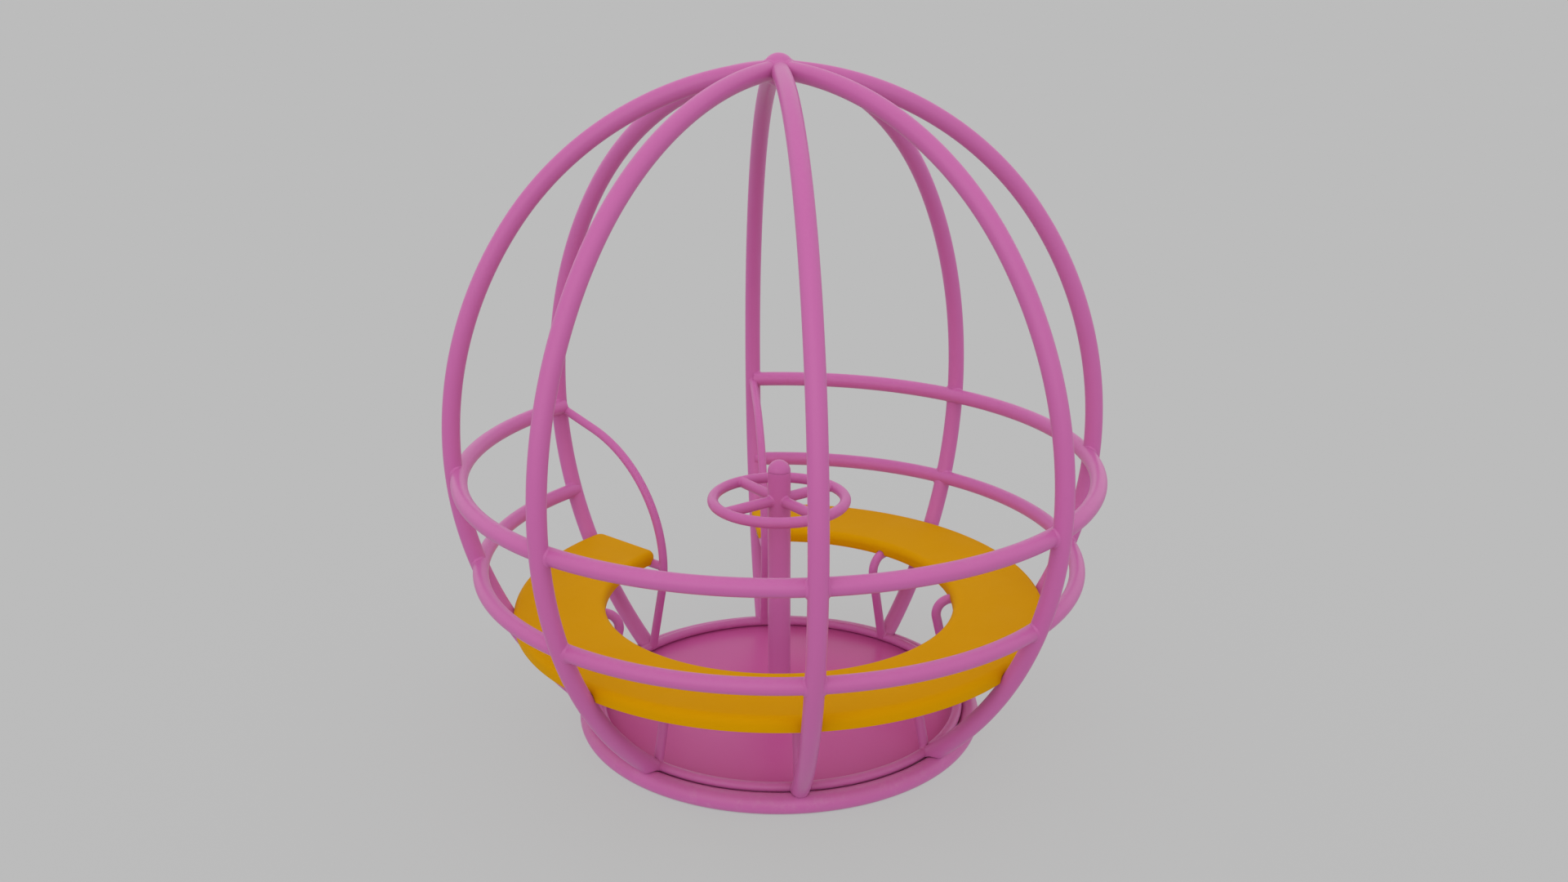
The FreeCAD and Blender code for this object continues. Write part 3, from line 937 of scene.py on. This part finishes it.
class Dresser:
    """Gives pieces the material of their slot and their body, and reports them."""

    def __init__(self, palette: Palette) -> None:
        """Keep the palette."""
        self.palette = palette

    def piece(self, mesh: Mesh, name: str, slot: Slot, body: Body, replaces: Sequence[str] = (),
              crease: float = 35.0) -> bpy.types.Object:
        """Build a piece and put it on its body.

        Args:
            mesh: Points and faces.
            name: Name of the piece.
            slot: Material slot that its finish comes from.
            body: Body that it rides on.
            replaces: Nodes of the frame that it stands for.
            crease: Angle that stays a sharp edge, in degrees.

        Returns:
            The piece.
        """
        return self.dress(mesh.build(name, crease), slot, body, replaces)

    def dress(self, made: bpy.types.Object, slot: Slot, body: Body,
              replaces: Sequence[str] = ()) -> bpy.types.Object:
        """Dress an object that is already built.

        Args:
            made: The object.
            slot: Material slot that its finish comes from.
            body: Body that it rides on.
            replaces: Nodes of the frame that it stands for.

        Returns:
            The object.
        """
        made.data.materials.clear()
        made.data.materials.append(self.palette.of(slot))
        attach(made, body.value)
        if replaces:
            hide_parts(*replaces)
        log.info("piece %s on %s, %d faces", made.name, body.value, len(made.data.polygons))
        return made

    def node(self, name: str, slot: Slot) -> None:
        """Give a node of the frame its finish.

        Args:
            name: Name of the node.
            slot: Slot that its finish comes from.
        """
        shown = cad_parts[name]
        for index in range(max(1, len(shown.material_slots))):
            if index < len(shown.material_slots):
                shown.material_slots[index].material = self.palette.of(slot)
            else:
                shown.data.materials.append(self.palette.of(slot))
        log.info("node %s finished as %s", name, slot.value)


# ---------------------------------------------------------------------------- cage
@dataclass
class GlobeLines:
    """Lines that the cage's tubes follow, in the plane of one rib."""

    rib_radius: float = 0.02415
    hoop_radius: float = 0.0125
    belly_arc: float = 1.009
    flank_arc: float = 1.070
    crown_arc: float = 0.882
    flank_turn: float = 35.3
    globe_radius: float = 0.879
    waist: float = 0.820
    leg_inside: float = 0.4515
    leg_bend: float = 0.045
    leg_lean: float = 13.0
    hoop_inside: float = 0.450
    hoop_arc: float = 0.394
    hoop_height: float = 0.3355
    hoop_lean: float = 12.5
    hoop_rise: float = 17.0
    step: float = 0.012
    small_radius: float = field(init=False)
    rim_radius: float = field(init=False)
    rim_height: float = field(init=False)
    deck_top: float = field(init=False)
    base_tube: float = field(init=False)
    base_radius: float = field(init=False)
    arm_height: float = field(init=False)
    crown: float = field(init=False)
    ball_radius: float = field(init=False)

    def __post_init__(self) -> None:
        """Read the places from the frame."""
        rim_low, rim_high = span("deck_rim")
        self.rim_height = (rim_low.z + rim_high.z) / 2
        self.small_radius = (rim_high.z - rim_low.z) / 2
        self.rim_radius = rim_high.x - self.small_radius
        self.deck_top = span("deck_plate")[1].z
        base_low, base_high = span("base_ring")
        self.base_tube = (base_high.z - base_low.z) / 2
        self.base_radius = base_high.x - self.base_tube
        arm_low, arm_high = span("entrance_arm_right")
        self.arm_height = (arm_low.z + arm_high.z) / 2
        ball_low, ball_high = span("crown_ball")
        self.crown = (ball_low.z + ball_high.z) / 2
        self.ball_radius = (ball_high.z - ball_low.z) / 2

    def rail(self, which: str) -> tuple[float, float, float]:
        """Radius and height of a rail's centreline, and the radius of its tube.

        Args:
            which: "upper" or "lower".

        Returns:
            The three measures.
        """
        low, high = span(f"{which}_rail_4")
        tube = (high.z - low.z) / 2
        return high.y - tube, (low.z + high.z) / 2, tube

    def rib(self, step: float | None = None) -> Line:
        """A rib from the deck rim up to the crown.

        Args:
            step: Longest gap between points; the usual one by default.

        Returns:
            The centreline.
        """
        gap = step or self.step
        belly = (self.globe_radius - self.belly_arc, self.waist)
        flank = (self.globe_radius - self.flank_arc, self.waist)
        lean = radians(self.flank_turn)
        reach = self.flank_arc - self.crown_arc
        crown = (flank[0] + reach * cos(lean), flank[1] + reach * sin(lean))
        low = -degrees(asin((self.waist - self.deck_top + 0.012) / self.belly_arc))
        top = degrees(acos(-crown[0] / self.crown_arc))
        return (Line.arc(belly, self.belly_arc, low, 0.0, gap)
                + Line.arc(flank, self.flank_arc, 0.0, self.flank_turn, gap)
                + Line.arc(crown, self.crown_arc, self.flank_turn, top, gap))

    def rib_reach(self, height: float) -> float:
        """Radius of the rib's centreline at a height below the waist."""
        drop = self.waist - height
        return self.globe_radius - self.belly_arc + sqrt(self.belly_arc ** 2 - drop ** 2)

    def support(self) -> Line:
        """A seat support from its foot on the rim, round its bend, and out to the rib.

        Returns:
            The centreline.
        """
        centre = (self.leg_inside + self.leg_bend, self.arm_height - self.leg_bend)
        lean = radians(self.leg_lean)
        top = (centre[0] - self.leg_bend * cos(lean), centre[1] - self.leg_bend * sin(lean))
        foot = (top[0] + (top[1] - self.rim_height) * tan(lean), self.rim_height)
        return (Line.straight((foot[0], 0, foot[1]), (top[0], 0, top[1]), self.step)
                + Line.arc(centre, self.leg_bend, 180 + self.leg_lean, 90.0, 0.003)
                + Line.straight((centre[0], 0, self.arm_height),
                                (self.rib_reach(self.arm_height), 0, self.arm_height), self.step))

    def hoop(self) -> Line:
        """An entrance hoop from its foot on the rim, past the seat's end, and out to the rib.

        Returns:
            The centreline.
        """
        centre = (self.hoop_inside + self.hoop_arc, self.hoop_height)
        low = radians(180 + self.hoop_lean)
        start = (centre[0] + self.hoop_arc * cos(low), centre[1] + self.hoop_arc * sin(low))
        foot = (start[0] + (start[1] - self.rim_height) * tan(radians(self.hoop_lean)), self.rim_height)
        high = radians(90 + self.hoop_rise)
        end = (centre[0] + self.hoop_arc * cos(high), centre[1] + self.hoop_arc * sin(high))
        run = self.rib_reach(self.rail("upper")[1]) - end[0]
        return (Line.straight((foot[0], 0, foot[1]), (start[0], 0, start[1]), self.step)
                + Line.arc(centre, self.hoop_arc, 180 + self.hoop_lean, 90 + self.hoop_rise, self.step)
                + Line.straight((end[0], 0, end[1]),
                                (end[0] + run, 0, end[1] + run * tan(radians(self.hoop_rise))), self.step))

    def entrance_arm(self) -> Line:
        """The level arm of an entrance hoop, out to the rib."""
        return Line.straight((self.hoop_inside, 0, self.arm_height),
                             (self.rib_reach(self.arm_height), 0, self.arm_height), self.step)


@dataclass
class RibCage:
    """Ribs, crown ball and rails with their welds."""

    lines: GlobeLines
    dresser: Dresser
    sides: int = 56
    rail_sides: int = 48
    running_gap: float = 0.003
    sink: float = 0.0004            # how far a foot goes into the rim
    foot_fan: float = 12.0          # degrees of ring on each side that a foot is cut to
    fine_step: float = 0.0015
    foot_points: int = 110          # points of the finely divided rib that make its foot
    foot_reach: float = 0.085       # length of rib over which the cut foot becomes round
    foot_rings: int = 10
    weld: Weld = field(default_factory=Weld)

    def build(self) -> None:
        """Build every piece of the cage's tube work."""
        self._ribs()
        self._crown()
        for which in ("upper", "lower"):
            self._rail(which)
        self._joints()

    def _ribs(self) -> None:
        """Ribs whose feet are cut round the base ring."""
        one = Mesh()
        one.grid(self._rib_rows())
        for index, angle in enumerate(RIB_ANGLES, 1):
            name = f"rib_{index}"
            self.dresser.piece(one.turned(angle), f"rib_tube_{index}", Slot.PINK, Body.CAGE, [name])

    def _rib_rows(self) -> np.ndarray:
        """Rings of a rib, the lowest of them cut to clear the base ring.

        Returns:
            Points, one row for each ring.
        """
        lines = self.lines
        base = Rod(Line.level(lines.base_radius, lines.base_tube, -self.foot_fan, 2 * self.foot_fan, 0.001),
                   lines.base_tube + self.running_gap)
        rim = Rod(Line.level(lines.rim_radius, lines.rim_height, -self.foot_fan, 2 * self.foot_fan, 0.001),
                  lines.small_radius - self.sink)
        fine = lines.rib(self.fine_step)
        tail = Line(fine.points[:self.foot_points], fine.along[:self.foot_points], fine.across).reversed()
        ends = [hits_of(tail, lines.rib_radius, self.sides, shape) for shape in (base, rim)]
        heights = np.stack([np.where(end.found, (end.points * tail.along[0]).sum(1), 9.0) for end in ends])
        pick = heights.argmin(0)
        foot = np.where((pick == 0)[:, None], ends[0].points, ends[1].points)
        foot = foot[(self.sides // 2 - np.arange(self.sides)) % self.sides]
        coarse = lines.rib()
        rows = coarse.rings(lines.rib_radius, self.sides)[0]
        keep = np.linalg.norm(coarse.points - coarse.points[0], axis=1) > self.foot_reach
        rows = rows[keep]
        share = np.linspace(0.0, 1.0, self.foot_rings)[:, None, None]
        blend = foot[None] * (1 - share) + rows[0][None] * share
        return np.concatenate([blend[:-1], rows])

    def _crown(self) -> None:
        """Ball of two welded halves on top of the ribs."""
        lines = self.lines
        radius = lines.ball_radius
        profile = [(0.0, -radius)]
        for angle in np.linspace(-88.0, 88.0, 45):
            swell = 0.0004 * np.exp(-(angle / 2.4) ** 2)
            reach = radius - 0.0004 + swell
            profile.append((reach * cos(radians(angle)), radius * sin(radians(angle))))
        profile.append((0.0, radius))
        ball = Mesh()
        ball.lathe(profile, 64)
        mesh = ball.moved((0, 0, lines.crown))
        rib = lines.rib(self.fine_step)
        tail = Line(rib.points[-90:], rib.along[-90:], rib.across)
        shape = Ball(np.array([0.0, 0.0, lines.crown]), radius)
        bead = Mesh()
        self.weld.bead(bead, tail, lines.rib_radius, shape)
        self.dresser.piece(mesh, "crown_ball_shell", Slot.PINK, Body.CAGE, ["crown_ball"])
        self.dresser.piece(bead.turned_copies(BAYS, RIB_ANGLES[0]), "crown_welds", Slot.PINK, Body.CAGE)

    def _rail(self, which: str) -> None:
        """The seven bays of a rail, each from rib to rib.

        Args:
            which: "upper" or "lower".
        """
        radius, height, tube = self.lines.rail(which)
        for bay in range(BAYS - 1):
            mesh = Mesh()
            line = Line.level(radius, height, RIB_ANGLES[bay], BAY, self.lines.step)
            mesh.tube(line, tube, self.rail_sides)
            self.dresser.piece(mesh, f"{which}_rail_tube_{bay + 1}", Slot.PINK, Body.CAGE,
                               [f"{which}_rail_{bay + 1}"])

    def _joints(self) -> None:
        """Welds of both rails to each rib."""
        lines = self.lines
        rib = Rod(lines.rib(0.004), lines.rib_radius)
        for index, angle in enumerate(RIB_ANGLES):
            mesh = Mesh()
            for which in ("upper", "lower"):
                radius, height, tube = lines.rail(which)
                for side in (-1, 1):
                    if (index == 0 and side < 0) or (index == BAYS - 1 and side > 0):
                        continue
                    run = Line.level(radius, height, side * 6.0, -side * 6.0, 0.0008)
                    self.weld.bead(mesh, run, tube, rib)
            self.dresser.piece(mesh.turned(angle), f"rail_welds_{index + 1}", Slot.PINK, Body.CAGE)


@dataclass
class SeatFrame:
    """Seat supports, entrance hoops and entrance arms with their welds."""

    lines: GlobeLines
    dresser: Dresser
    sides: int = 40
    weld: Weld = field(default_factory=lambda: Weld(leg=0.0040, sides=56))

    def build(self) -> None:
        """Build every support."""
        lines = self.lines
        support, hoop, arm = Mesh(), Mesh(), Mesh()
        support.tube(lines.support(), lines.small_radius, self.sides)
        hoop.tube(lines.hoop(), lines.hoop_radius, self.sides)
        arm.tube(lines.entrance_arm(), lines.small_radius, self.sides)
        for index, angle in enumerate(RIB_ANGLES[1:-1], 1):
            self.dresser.piece(support.turned(angle), f"support_tube_{index}", Slot.PINK, Body.CAGE,
                               [f"seat_support_{index}"])
        for side, angle in (("right", RIB_ANGLES[0]), ("left", RIB_ANGLES[-1])):
            self.dresser.piece(hoop.turned(angle), f"grab_hoop_{side}", Slot.PINK, Body.CAGE,
                               [f"entrance_hoop_{side}"])
            self.dresser.piece(arm.turned(angle), f"grab_arm_{side}", Slot.PINK, Body.CAGE,
                               [f"entrance_arm_{side}"])
        self._welds()

    def _fine(self, line: Line, start: bool) -> Line:
        """The last 9 cm at one end of a line, finely divided and running towards that end.

        Args:
            line: The whole line.
            start: Whether it is the first end.

        Returns:
            The short line.
        """
        tip = line.points[0] if start else line.points[-1]
        way = -line.along[0] if start else line.along[-1]
        return Line.straight(tip - way * 0.09, tip + way * 0.001, 0.0008)

    def _welds(self) -> None:
        """Welds at the rim, at the ribs and where the arm meets its hoop."""
        lines = self.lines
        radius = lines.small_radius
        rim = Rod(Line.level(lines.rim_radius, lines.rim_height, -15.0, 30.0, 0.002), radius)
        rib = Rod(lines.rib(0.004), lines.rib_radius)
        leg, hoop, arm = lines.support(), lines.hoop(), lines.entrance_arm()
        inner, outer = Mesh(), Mesh()
        self.weld.bead(inner, self._fine(leg, True), radius, rim)
        self.weld.bead(inner, self._fine(leg, False), radius, rib)
        self.weld.bead(outer, self._fine(hoop, True), lines.hoop_radius, rim)
        self.weld.bead(outer, self._fine(hoop, False), lines.hoop_radius, rib)
        self.weld.bead(outer, self._fine(arm, True), radius, Rod(hoop, lines.hoop_radius))
        self.weld.bead(outer, self._fine(arm, False), radius, rib)
        for index, angle in enumerate(RIB_ANGLES):
            mesh = outer if index in (0, BAYS - 1) else inner
            self.dresser.piece(mesh.turned(angle), f"support_welds_{index + 1}", Slot.PINK, Body.CAGE)


# ---------------------------------------------------------------------------- deck and base
@dataclass
class Deck:
    """Deck plate with its rim tube and the spokes under it."""

    lines: GlobeLines
    dresser: Dresser
    edge: float = 0.0012

    def build(self) -> None:
        """Build the deck."""
        low, high = span("deck_plate")
        hub = span("hub_housing")[1].x + 0.0003
        plate = Mesh()
        corners = [(hub, low.z), (high.x, low.z), (high.x, high.z), (hub, high.z)]
        plate.lathe(chamfered(corners, self.edge), 256)
        self.dresser.piece(plate, "deck_sheet", Slot.DECK, Body.CAGE, ["deck_plate"])
        rim = Mesh()
        rim.tube(Line.level(self.lines.rim_radius, self.lines.rim_height, 0.0, 360.0, 0.010),
                 self.lines.small_radius, 40)
        self.dresser.piece(rim, "deck_rim_tube", Slot.PINK, Body.CAGE, ["deck_rim"])
        self.dresser.node("deck_spokes", Slot.PINK)


@dataclass
class BaseFrame:
    """Base ring on the ground, with its arms and anchor plate."""

    lines: GlobeLines
    dresser: Dresser

    def build(self) -> None:
        """Build the base."""
        ring = Mesh()
        ring.tube(Line.level(self.lines.base_radius, self.lines.base_tube, 0.0, 360.0, 0.010),
                  self.lines.base_tube, 64)
        self.dresser.piece(ring, "base_ring_tube", Slot.PINK, Body.BASE, ["base_ring"])
        for name in ("base_arms", "anchor_plate"):
            self.dresser.node(name, Slot.PINK)


@dataclass
class CentrePost:
    """Centre post with its domed cap."""

    dresser: Dresser
    seam: float = 0.0006

    def build(self) -> None:
        """Build the post and its cap."""
        low, high = span("centre_post")
        post = Mesh()
        radius = high.x
        post.lathe([(0.0, low.z), (radius, low.z), (radius, high.z - 0.001), (radius - 0.001, high.z),
                    (0.0, high.z)], 96)
        self.dresser.piece(post, "post_tube", Slot.PINK, Body.BASE, ["centre_post"])
        cap_top = span("post_cap")[1]
        dome = cap_top.z - high.z
        profile = [(0.0, high.z + self.seam), (dome - 0.0012, high.z + self.seam)]
        for angle in np.linspace(2.0, 88.0, 30):
            profile.append((dome * cos(radians(angle)), high.z + dome * sin(radians(angle))))
        profile.append((0.0, high.z + dome))
        cap = Mesh()
        cap.lathe(profile, 96)
        self.dresser.piece(cap, "post_dome", Slot.PINK, Body.BASE, ["post_cap"])


@dataclass
class Handwheel:
    """Fixed wheel that riders pull on."""

    dresser: Dresser
    spokes: int = 4
    first_spoke: float = 8.5
    weld: Weld = field(default_factory=lambda: Weld(leg=0.0036, sides=48))

    def build(self) -> None:
        """Build the wheel's rim, spokes and welds."""
        low, high = span("handwheel_rim")
        tube = (high.z - low.z) / 2
        radius, height = high.x - tube, (high.z + low.z) / 2
        post_radius = span("centre_post")[1].x
        rim = Mesh()
        ring = Line.level(radius, height, 0.0, 360.0, 0.006)
        rim.tube(ring, tube, 44)
        self.dresser.piece(rim, "wheel_rim_tube", Slot.PINK, Body.BASE, ["handwheel_rim"])
        one = Mesh()
        run = Line.straight((0.012, 0, height), (radius, 0, height), 0.0008)
        one.tube(Line.straight((0.012, 0, height), (radius, 0, height), 0.02), tube, 40)
        spokes = one.turned_copies(self.spokes, self.first_spoke)
        self.dresser.piece(spokes, "wheel_spoke_tubes", Slot.PINK, Body.BASE, ["handwheel_spokes"])
        bead = Mesh()
        post = Rod(Line.straight((0, 0, height - 0.1), (0, 0, height + 0.1), 0.001), post_radius)
        near_rim = Rod(Line.level(radius, height, -12.0, 24.0, 0.001), tube)
        self.weld.bead(bead, run, tube, near_rim)
        self.weld.bead(bead, run.reversed(), tube, post)
        self.dresser.piece(bead.turned_copies(self.spokes, self.first_spoke), "wheel_welds", Slot.PINK,
                           Body.BASE)


@dataclass
class Hub:
    """Hub, its cover and seal, and the bearings inside it."""

    dresser: Dresser

    def build(self) -> None:
        """Build what shows of the hub and finish what is inside it."""
        low, high = span("hub_housing")
        deck = span("deck_plate")[1].z
        wall = high.x
        bore = span("lower_bearing_outer")[1].x + 0.00005
        shoulder = bore - 0.0035
        bottom = span("lower_bearing_outer")[1].z
        top = span("upper_bearing_outer")[0].z
        corners = [(bore, low.z), (wall, low.z), (wall, deck - 0.006), (wall, high.z), (bore, high.z),
                   (bore, top), (shoulder, top), (shoulder, bottom), (bore, bottom)]
        body = Mesh()
        body.lathe(chamfered(corners, 0.0014), 128)
        self.dresser.piece(body, "hub_casting", Slot.PINK, Body.CAGE, ["hub_housing"])
        for name in ("lower_bearing_inner", "upper_bearing_inner", "lower_bearing_outer",
                     "upper_bearing_outer", "lower_bearing_balls", "upper_bearing_balls"):
            self.dresser.node(name, Slot.BEARING)
        for name in ("bearing_spacer", "lock_collar", "lock_screws", "hub_cover_screws"):
            self.dresser.node(name, Slot.ZINC)
        self.dresser.node("hub_cover", Slot.PINK)
        self.dresser.node("dust_seal", Slot.RUBBER)


# ---------------------------------------------------------------------------- seat
@dataclass
class Seat:
    """Moulded C-shaped seat with its clips and bolts."""

    lines: GlobeLines
    dresser: Dresser
    inside: float = 0.488
    overhang: float = 1.6           # degrees past each entrance rib
    wall: float = 0.006
    edge: float = 0.020
    corner: float = 0.028
    long_samples: int = 260
    corner_samples: int = 10

    def __post_init__(self) -> None:
        """Read the seat's box."""
        low, high = span("seat")
        self.outside = high.x
        self.bottom, self.top = low.z, high.z
        self.start = RIB_ANGLES[0] - self.overhang
        self.sweep = BAY * (BAYS - 1) + 2 * self.overhang

    def build(self) -> None:
        """Build the seat."""
        shell = self._shell()
        carved = self._carve(shell.build("seat_shell", 40.0))
        self.dresser.dress(carved, Slot.SEAT, Body.CAGE, ["seat"])
        for name in ("seat_clips", "seat_bolts"):
            self.dresser.node(name, Slot.ZINC)

    def _end(self, inset: float) -> np.ndarray:
        """Outline round the seat's first end, from its outer side to its inner side.

        Args:
            inset: Distance inside the seat's own outline.

        Returns:
            Points in the XY plane, with the end on the X axis and the seat towards +Y.
        """
        round_off = max(self.corner - inset, 0.002)
        depth = inset + round_off
        outer_reach = self.outside - inset - round_off
        inner_reach = self.inside + inset + round_off
        outer = np.array([sqrt(outer_reach ** 2 - depth ** 2), depth])
        inner = np.array([sqrt(inner_reach ** 2 - depth ** 2), depth])
        lean_out = atan2(outer[1], outer[0])
        lean_in = atan2(inner[1], inner[0])
        points = [outer + round_off * np.array([cos(a), sin(a)])
                  for a in np.linspace(lean_out, -pi / 2, self.corner_samples)]
        for share in np.linspace(0.0, 1.0, 12)[1:-1]:
            points.append(np.array([outer[0] * (1 - share) + inner[0] * share, inset]))
        points += [inner + round_off * np.array([cos(a), sin(a)])
                   for a in np.linspace(-pi / 2, -pi + lean_in, self.corner_samples)]
        return np.array(points)

    def _loop(self, inset: float, height: float) -> np.ndarray:
        """Closed outline of the seat at an inset and a height.

        Args:
            inset: Distance inside the seat's own outline.
            height: Height of the outline.

        Returns:
            Points of the loop.
        """
        end = self._end(inset)
        mirrored = end[::-1] * np.array([1.0, -1.0])
        first = self._spun(end, self.start)
        last = self._spun(mirrored, self.start + self.sweep)
        inner_from = degrees(atan2(end[-1][1], end[-1][0])) + self.start
        outer_from = degrees(atan2(end[0][1], end[0][0])) + self.start
        centre = self.start + self.sweep / 2
        inner = self._side(self.inside + inset, inner_from, 2 * centre - inner_from)
        outer = self._side(self.outside - inset, 2 * centre - outer_from, outer_from)
        flat = np.concatenate([first, inner, last, outer])
        return np.column_stack([flat, np.full(len(flat), height)])

    @staticmethod
    def _spun(points: np.ndarray, angle: float) -> np.ndarray:
        """Turn points of the XY plane about the origin."""
        c, s = cos(radians(angle)), sin(radians(angle))
        return points @ np.array([[c, s], [-s, c]])

    def _side(self, radius: float, start: float, end: float) -> np.ndarray:
        """Points along a long side, without its two ends."""
        angle = np.radians(np.linspace(start, end, self.long_samples + 2)[1:-1])
        return np.stack([radius * np.cos(angle), radius * np.sin(angle)], 1)

    def _shell(self) -> Mesh:
        """Skin of the seat, from its top over the edge, round the lip and back underneath.

        Returns:
            The closed skin.
        """
        middle = (self.outside - self.inside) / 2 - 0.004
        profile = [(middle, self.top - 0.0006), (0.09, self.top - 0.0006), (0.055, self.top - 0.0003),
                   (0.03, self.top)]
        for angle in np.linspace(90.0, 0.0, 12):
            profile.append((self.edge * (1 - cos(radians(angle))),
                            self.top - self.edge * (1 - sin(radians(angle)))))
        lip = 0.002
        profile += [(0.0, self.bottom + lip), (0.0006, self.bottom + 0.0006), (lip, self.bottom),
                    (self.wall - lip, self.bottom), (self.wall - 0.0006, self.bottom + 0.0006),
                    (self.wall, self.bottom + lip)]
        under = self.edge - self.wall
        for angle in np.linspace(0.0, 90.0, 8):
            profile.append((self.wall + under * (1 - cos(radians(angle))),
                            self.top - self.edge + under * sin(radians(angle))))
        profile += [(0.05, self.top - self.wall), (middle, self.top - self.wall)]
        rows = np.stack([self._loop(inset, height) for inset, height in profile])
        mesh = Mesh()
        mesh.grid(rows, caps=False)
        self._close(mesh, len(rows[0]), 0, False)
        self._close(mesh, len(rows[0]), (len(rows) - 1) * len(rows[0]), True)
        return mesh

    def _close(self, mesh: Mesh, size: int, base: int, flipped: bool) -> None:
        """Bridge the two long sides of the innermost loop.

        Args:
            mesh: Mesh of the skin.
            size: Points in a loop.
            base: Number of the first point of the loop.
            flipped: Whether the faces look down.
        """
        end = 2 * self.corner_samples + 10
        inner = list(range(end - 1, end + self.long_samples + 1))
        outer = [0] + [size - 1 - step for step in range(self.long_samples)]
        outer.append(size - self.long_samples - 1)
        faces = [(inner[i], inner[i + 1], outer[i + 1], outer[i]) for i in range(len(inner) - 1)]
        faces.append(tuple(range(end)))
        faces.append(tuple(range(end + self.long_samples, size - self.long_samples)))
        if flipped:
            faces = [face[::-1] for face in faces]
        mesh.faces.extend(tuple(base + corner for corner in face) for face in faces)

    def _carve(self, seat: bpy.types.Object) -> bpy.types.Object:
        """Cut the notches for the ribs and the arms.

        Args:
            seat: Plain shell.

        Returns:
            The carved shell.
        """
        tool = Mesh()
        rib = self.lines.rib(0.01)
        near = (rib.points[:, 2] > self.bottom - 0.06) & (rib.points[:, 2] < self.top + 0.06)
        short = Line(rib.points[near], rib.along[near], rib.across)
        tool.tube(short, self.lines.rib_radius + 0.0012, 56)
        arms = Mesh()
        height = self.lines.arm_height
        arms.tube(Line.straight((self.inside - 0.03, 0, height), (self.outside + 0.03, 0, height), 0.02),
                  self.lines.small_radius + 0.0008, 40)
        for cutter in (tool, arms):
            piece = cutter.turned_copies(BAYS, RIB_ANGLES[0]).build("seat_cutter")
            self._subtract(seat, piece)
        return seat

    @staticmethod
    def _subtract(target: bpy.types.Object, cutter: bpy.types.Object) -> None:
        """Cut one object out of another and remove the cutter.

        Args:
            target: Object to cut.
            cutter: Shape to take away.
        """
        change = target.modifiers.new("cut", "BOOLEAN")
        change.operation = "DIFFERENCE"
        change.solver = "EXACT"
        change.object = cutter
        graph = bpy.context.evaluated_depsgraph_get()
        result = bpy.data.meshes.new_from_object(target.evaluated_get(graph))
        target.modifiers.remove(change)
        target.data = result
        result.set_sharp_from_angle(angle=radians(40.0))
        bpy.data.objects.remove(cutter)


# ---------------------------------------------------------------------------- studio
@dataclass
class Studio:
    """Pale floor, soft light and the camera."""

    distance: float = 3.9575
    eye: float = 2.100
    azimuth: float = 151.89
    pitch: float = -17.891
    yaw: float = -0.195
    lens: float = 35.0
    sky: float = 0.88
    key: float = 0.65
    floor_half: float = 90.0

    def build(self) -> None:
        """Build the studio."""
        scene = bpy.context.scene
        scene.view_settings.view_transform = "Standard"
        self._floor()
        self._world()
        self._sun("key_light", self.key, (78.0, 0.0, self.azimuth - 15.0), 75.0)
        self._camera(scene)

    def _floor(self) -> None:
        """Floor that runs out of sight."""
        half = self.floor_half
        data = bpy.data.meshes.new("floor")
        data.from_pydata([(-half, -half, 0), (half, -half, 0), (half, half, 0), (-half, half, 0)], [],
                         [(0, 1, 2, 3)])
        floor = bpy.data.objects.new("floor", data)
        bpy.context.scene.collection.objects.link(floor)
        data.materials.append(StudioFloor("studio_floor").material())

    def _world(self) -> None:
        """Even pale surroundings."""
        world = bpy.data.worlds.new("studio")
        world.use_nodes = True
        background = world.node_tree.nodes["Background"]
        background.inputs["Color"].default_value = (1.0, 1.0, 1.0, 1.0)
        background.inputs["Strength"].default_value = self.sky
        bpy.context.scene.world = world

    def _sun(self, name: str, energy: float, tilt: tuple[float, float, float], spread: float) -> None:
        """Add a soft directional light.

        Args:
            name: Name of the light.
            energy: Its strength.
            tilt: Turns about X, Y and Z, in degrees.
            spread: Apparent size, in degrees.
        """
        data = bpy.data.lights.new(name, "SUN")
        data.energy = energy
        data.angle = radians(spread)
        lamp = bpy.data.objects.new(name, data)
        lamp.rotation_euler = [radians(angle) for angle in tilt]
        bpy.context.scene.collection.objects.link(lamp)

    def _camera(self, scene: bpy.types.Scene) -> None:
        """Camera that looks down into the cage.

        Args:
            scene: Scene that it is put in.
        """
        data = bpy.data.cameras.new("camera")
        data.lens = self.lens
        data.sensor_width = 36.0
        data.clip_end = 500.0
        camera = bpy.data.objects.new("camera", data)
        side = radians(self.azimuth)
        camera.location = (self.distance * sin(side), -self.distance * cos(side), self.eye)
        camera.rotation_euler = (radians(90.0 + self.pitch), 0.0, radians(self.azimuth + self.yaw))
        scene.collection.objects.link(camera)
        scene.camera = camera


def main() -> None:
    """Build every sub-assembly in order."""
    logging.basicConfig(level=logging.INFO, format="%(message)s")
    lines = GlobeLines()
    dresser = Dresser(Palette())
    BaseFrame(lines, dresser).build()
    CentrePost(dresser).build()
    Handwheel(dresser).build()
    Hub(dresser).build()
    Deck(lines, dresser).build()
    RibCage(lines, dresser).build()
    SeatFrame(lines, dresser).build()
    Seat(lines, dresser).build()
    Studio().build()


if __name__ == "__main__":
    main()
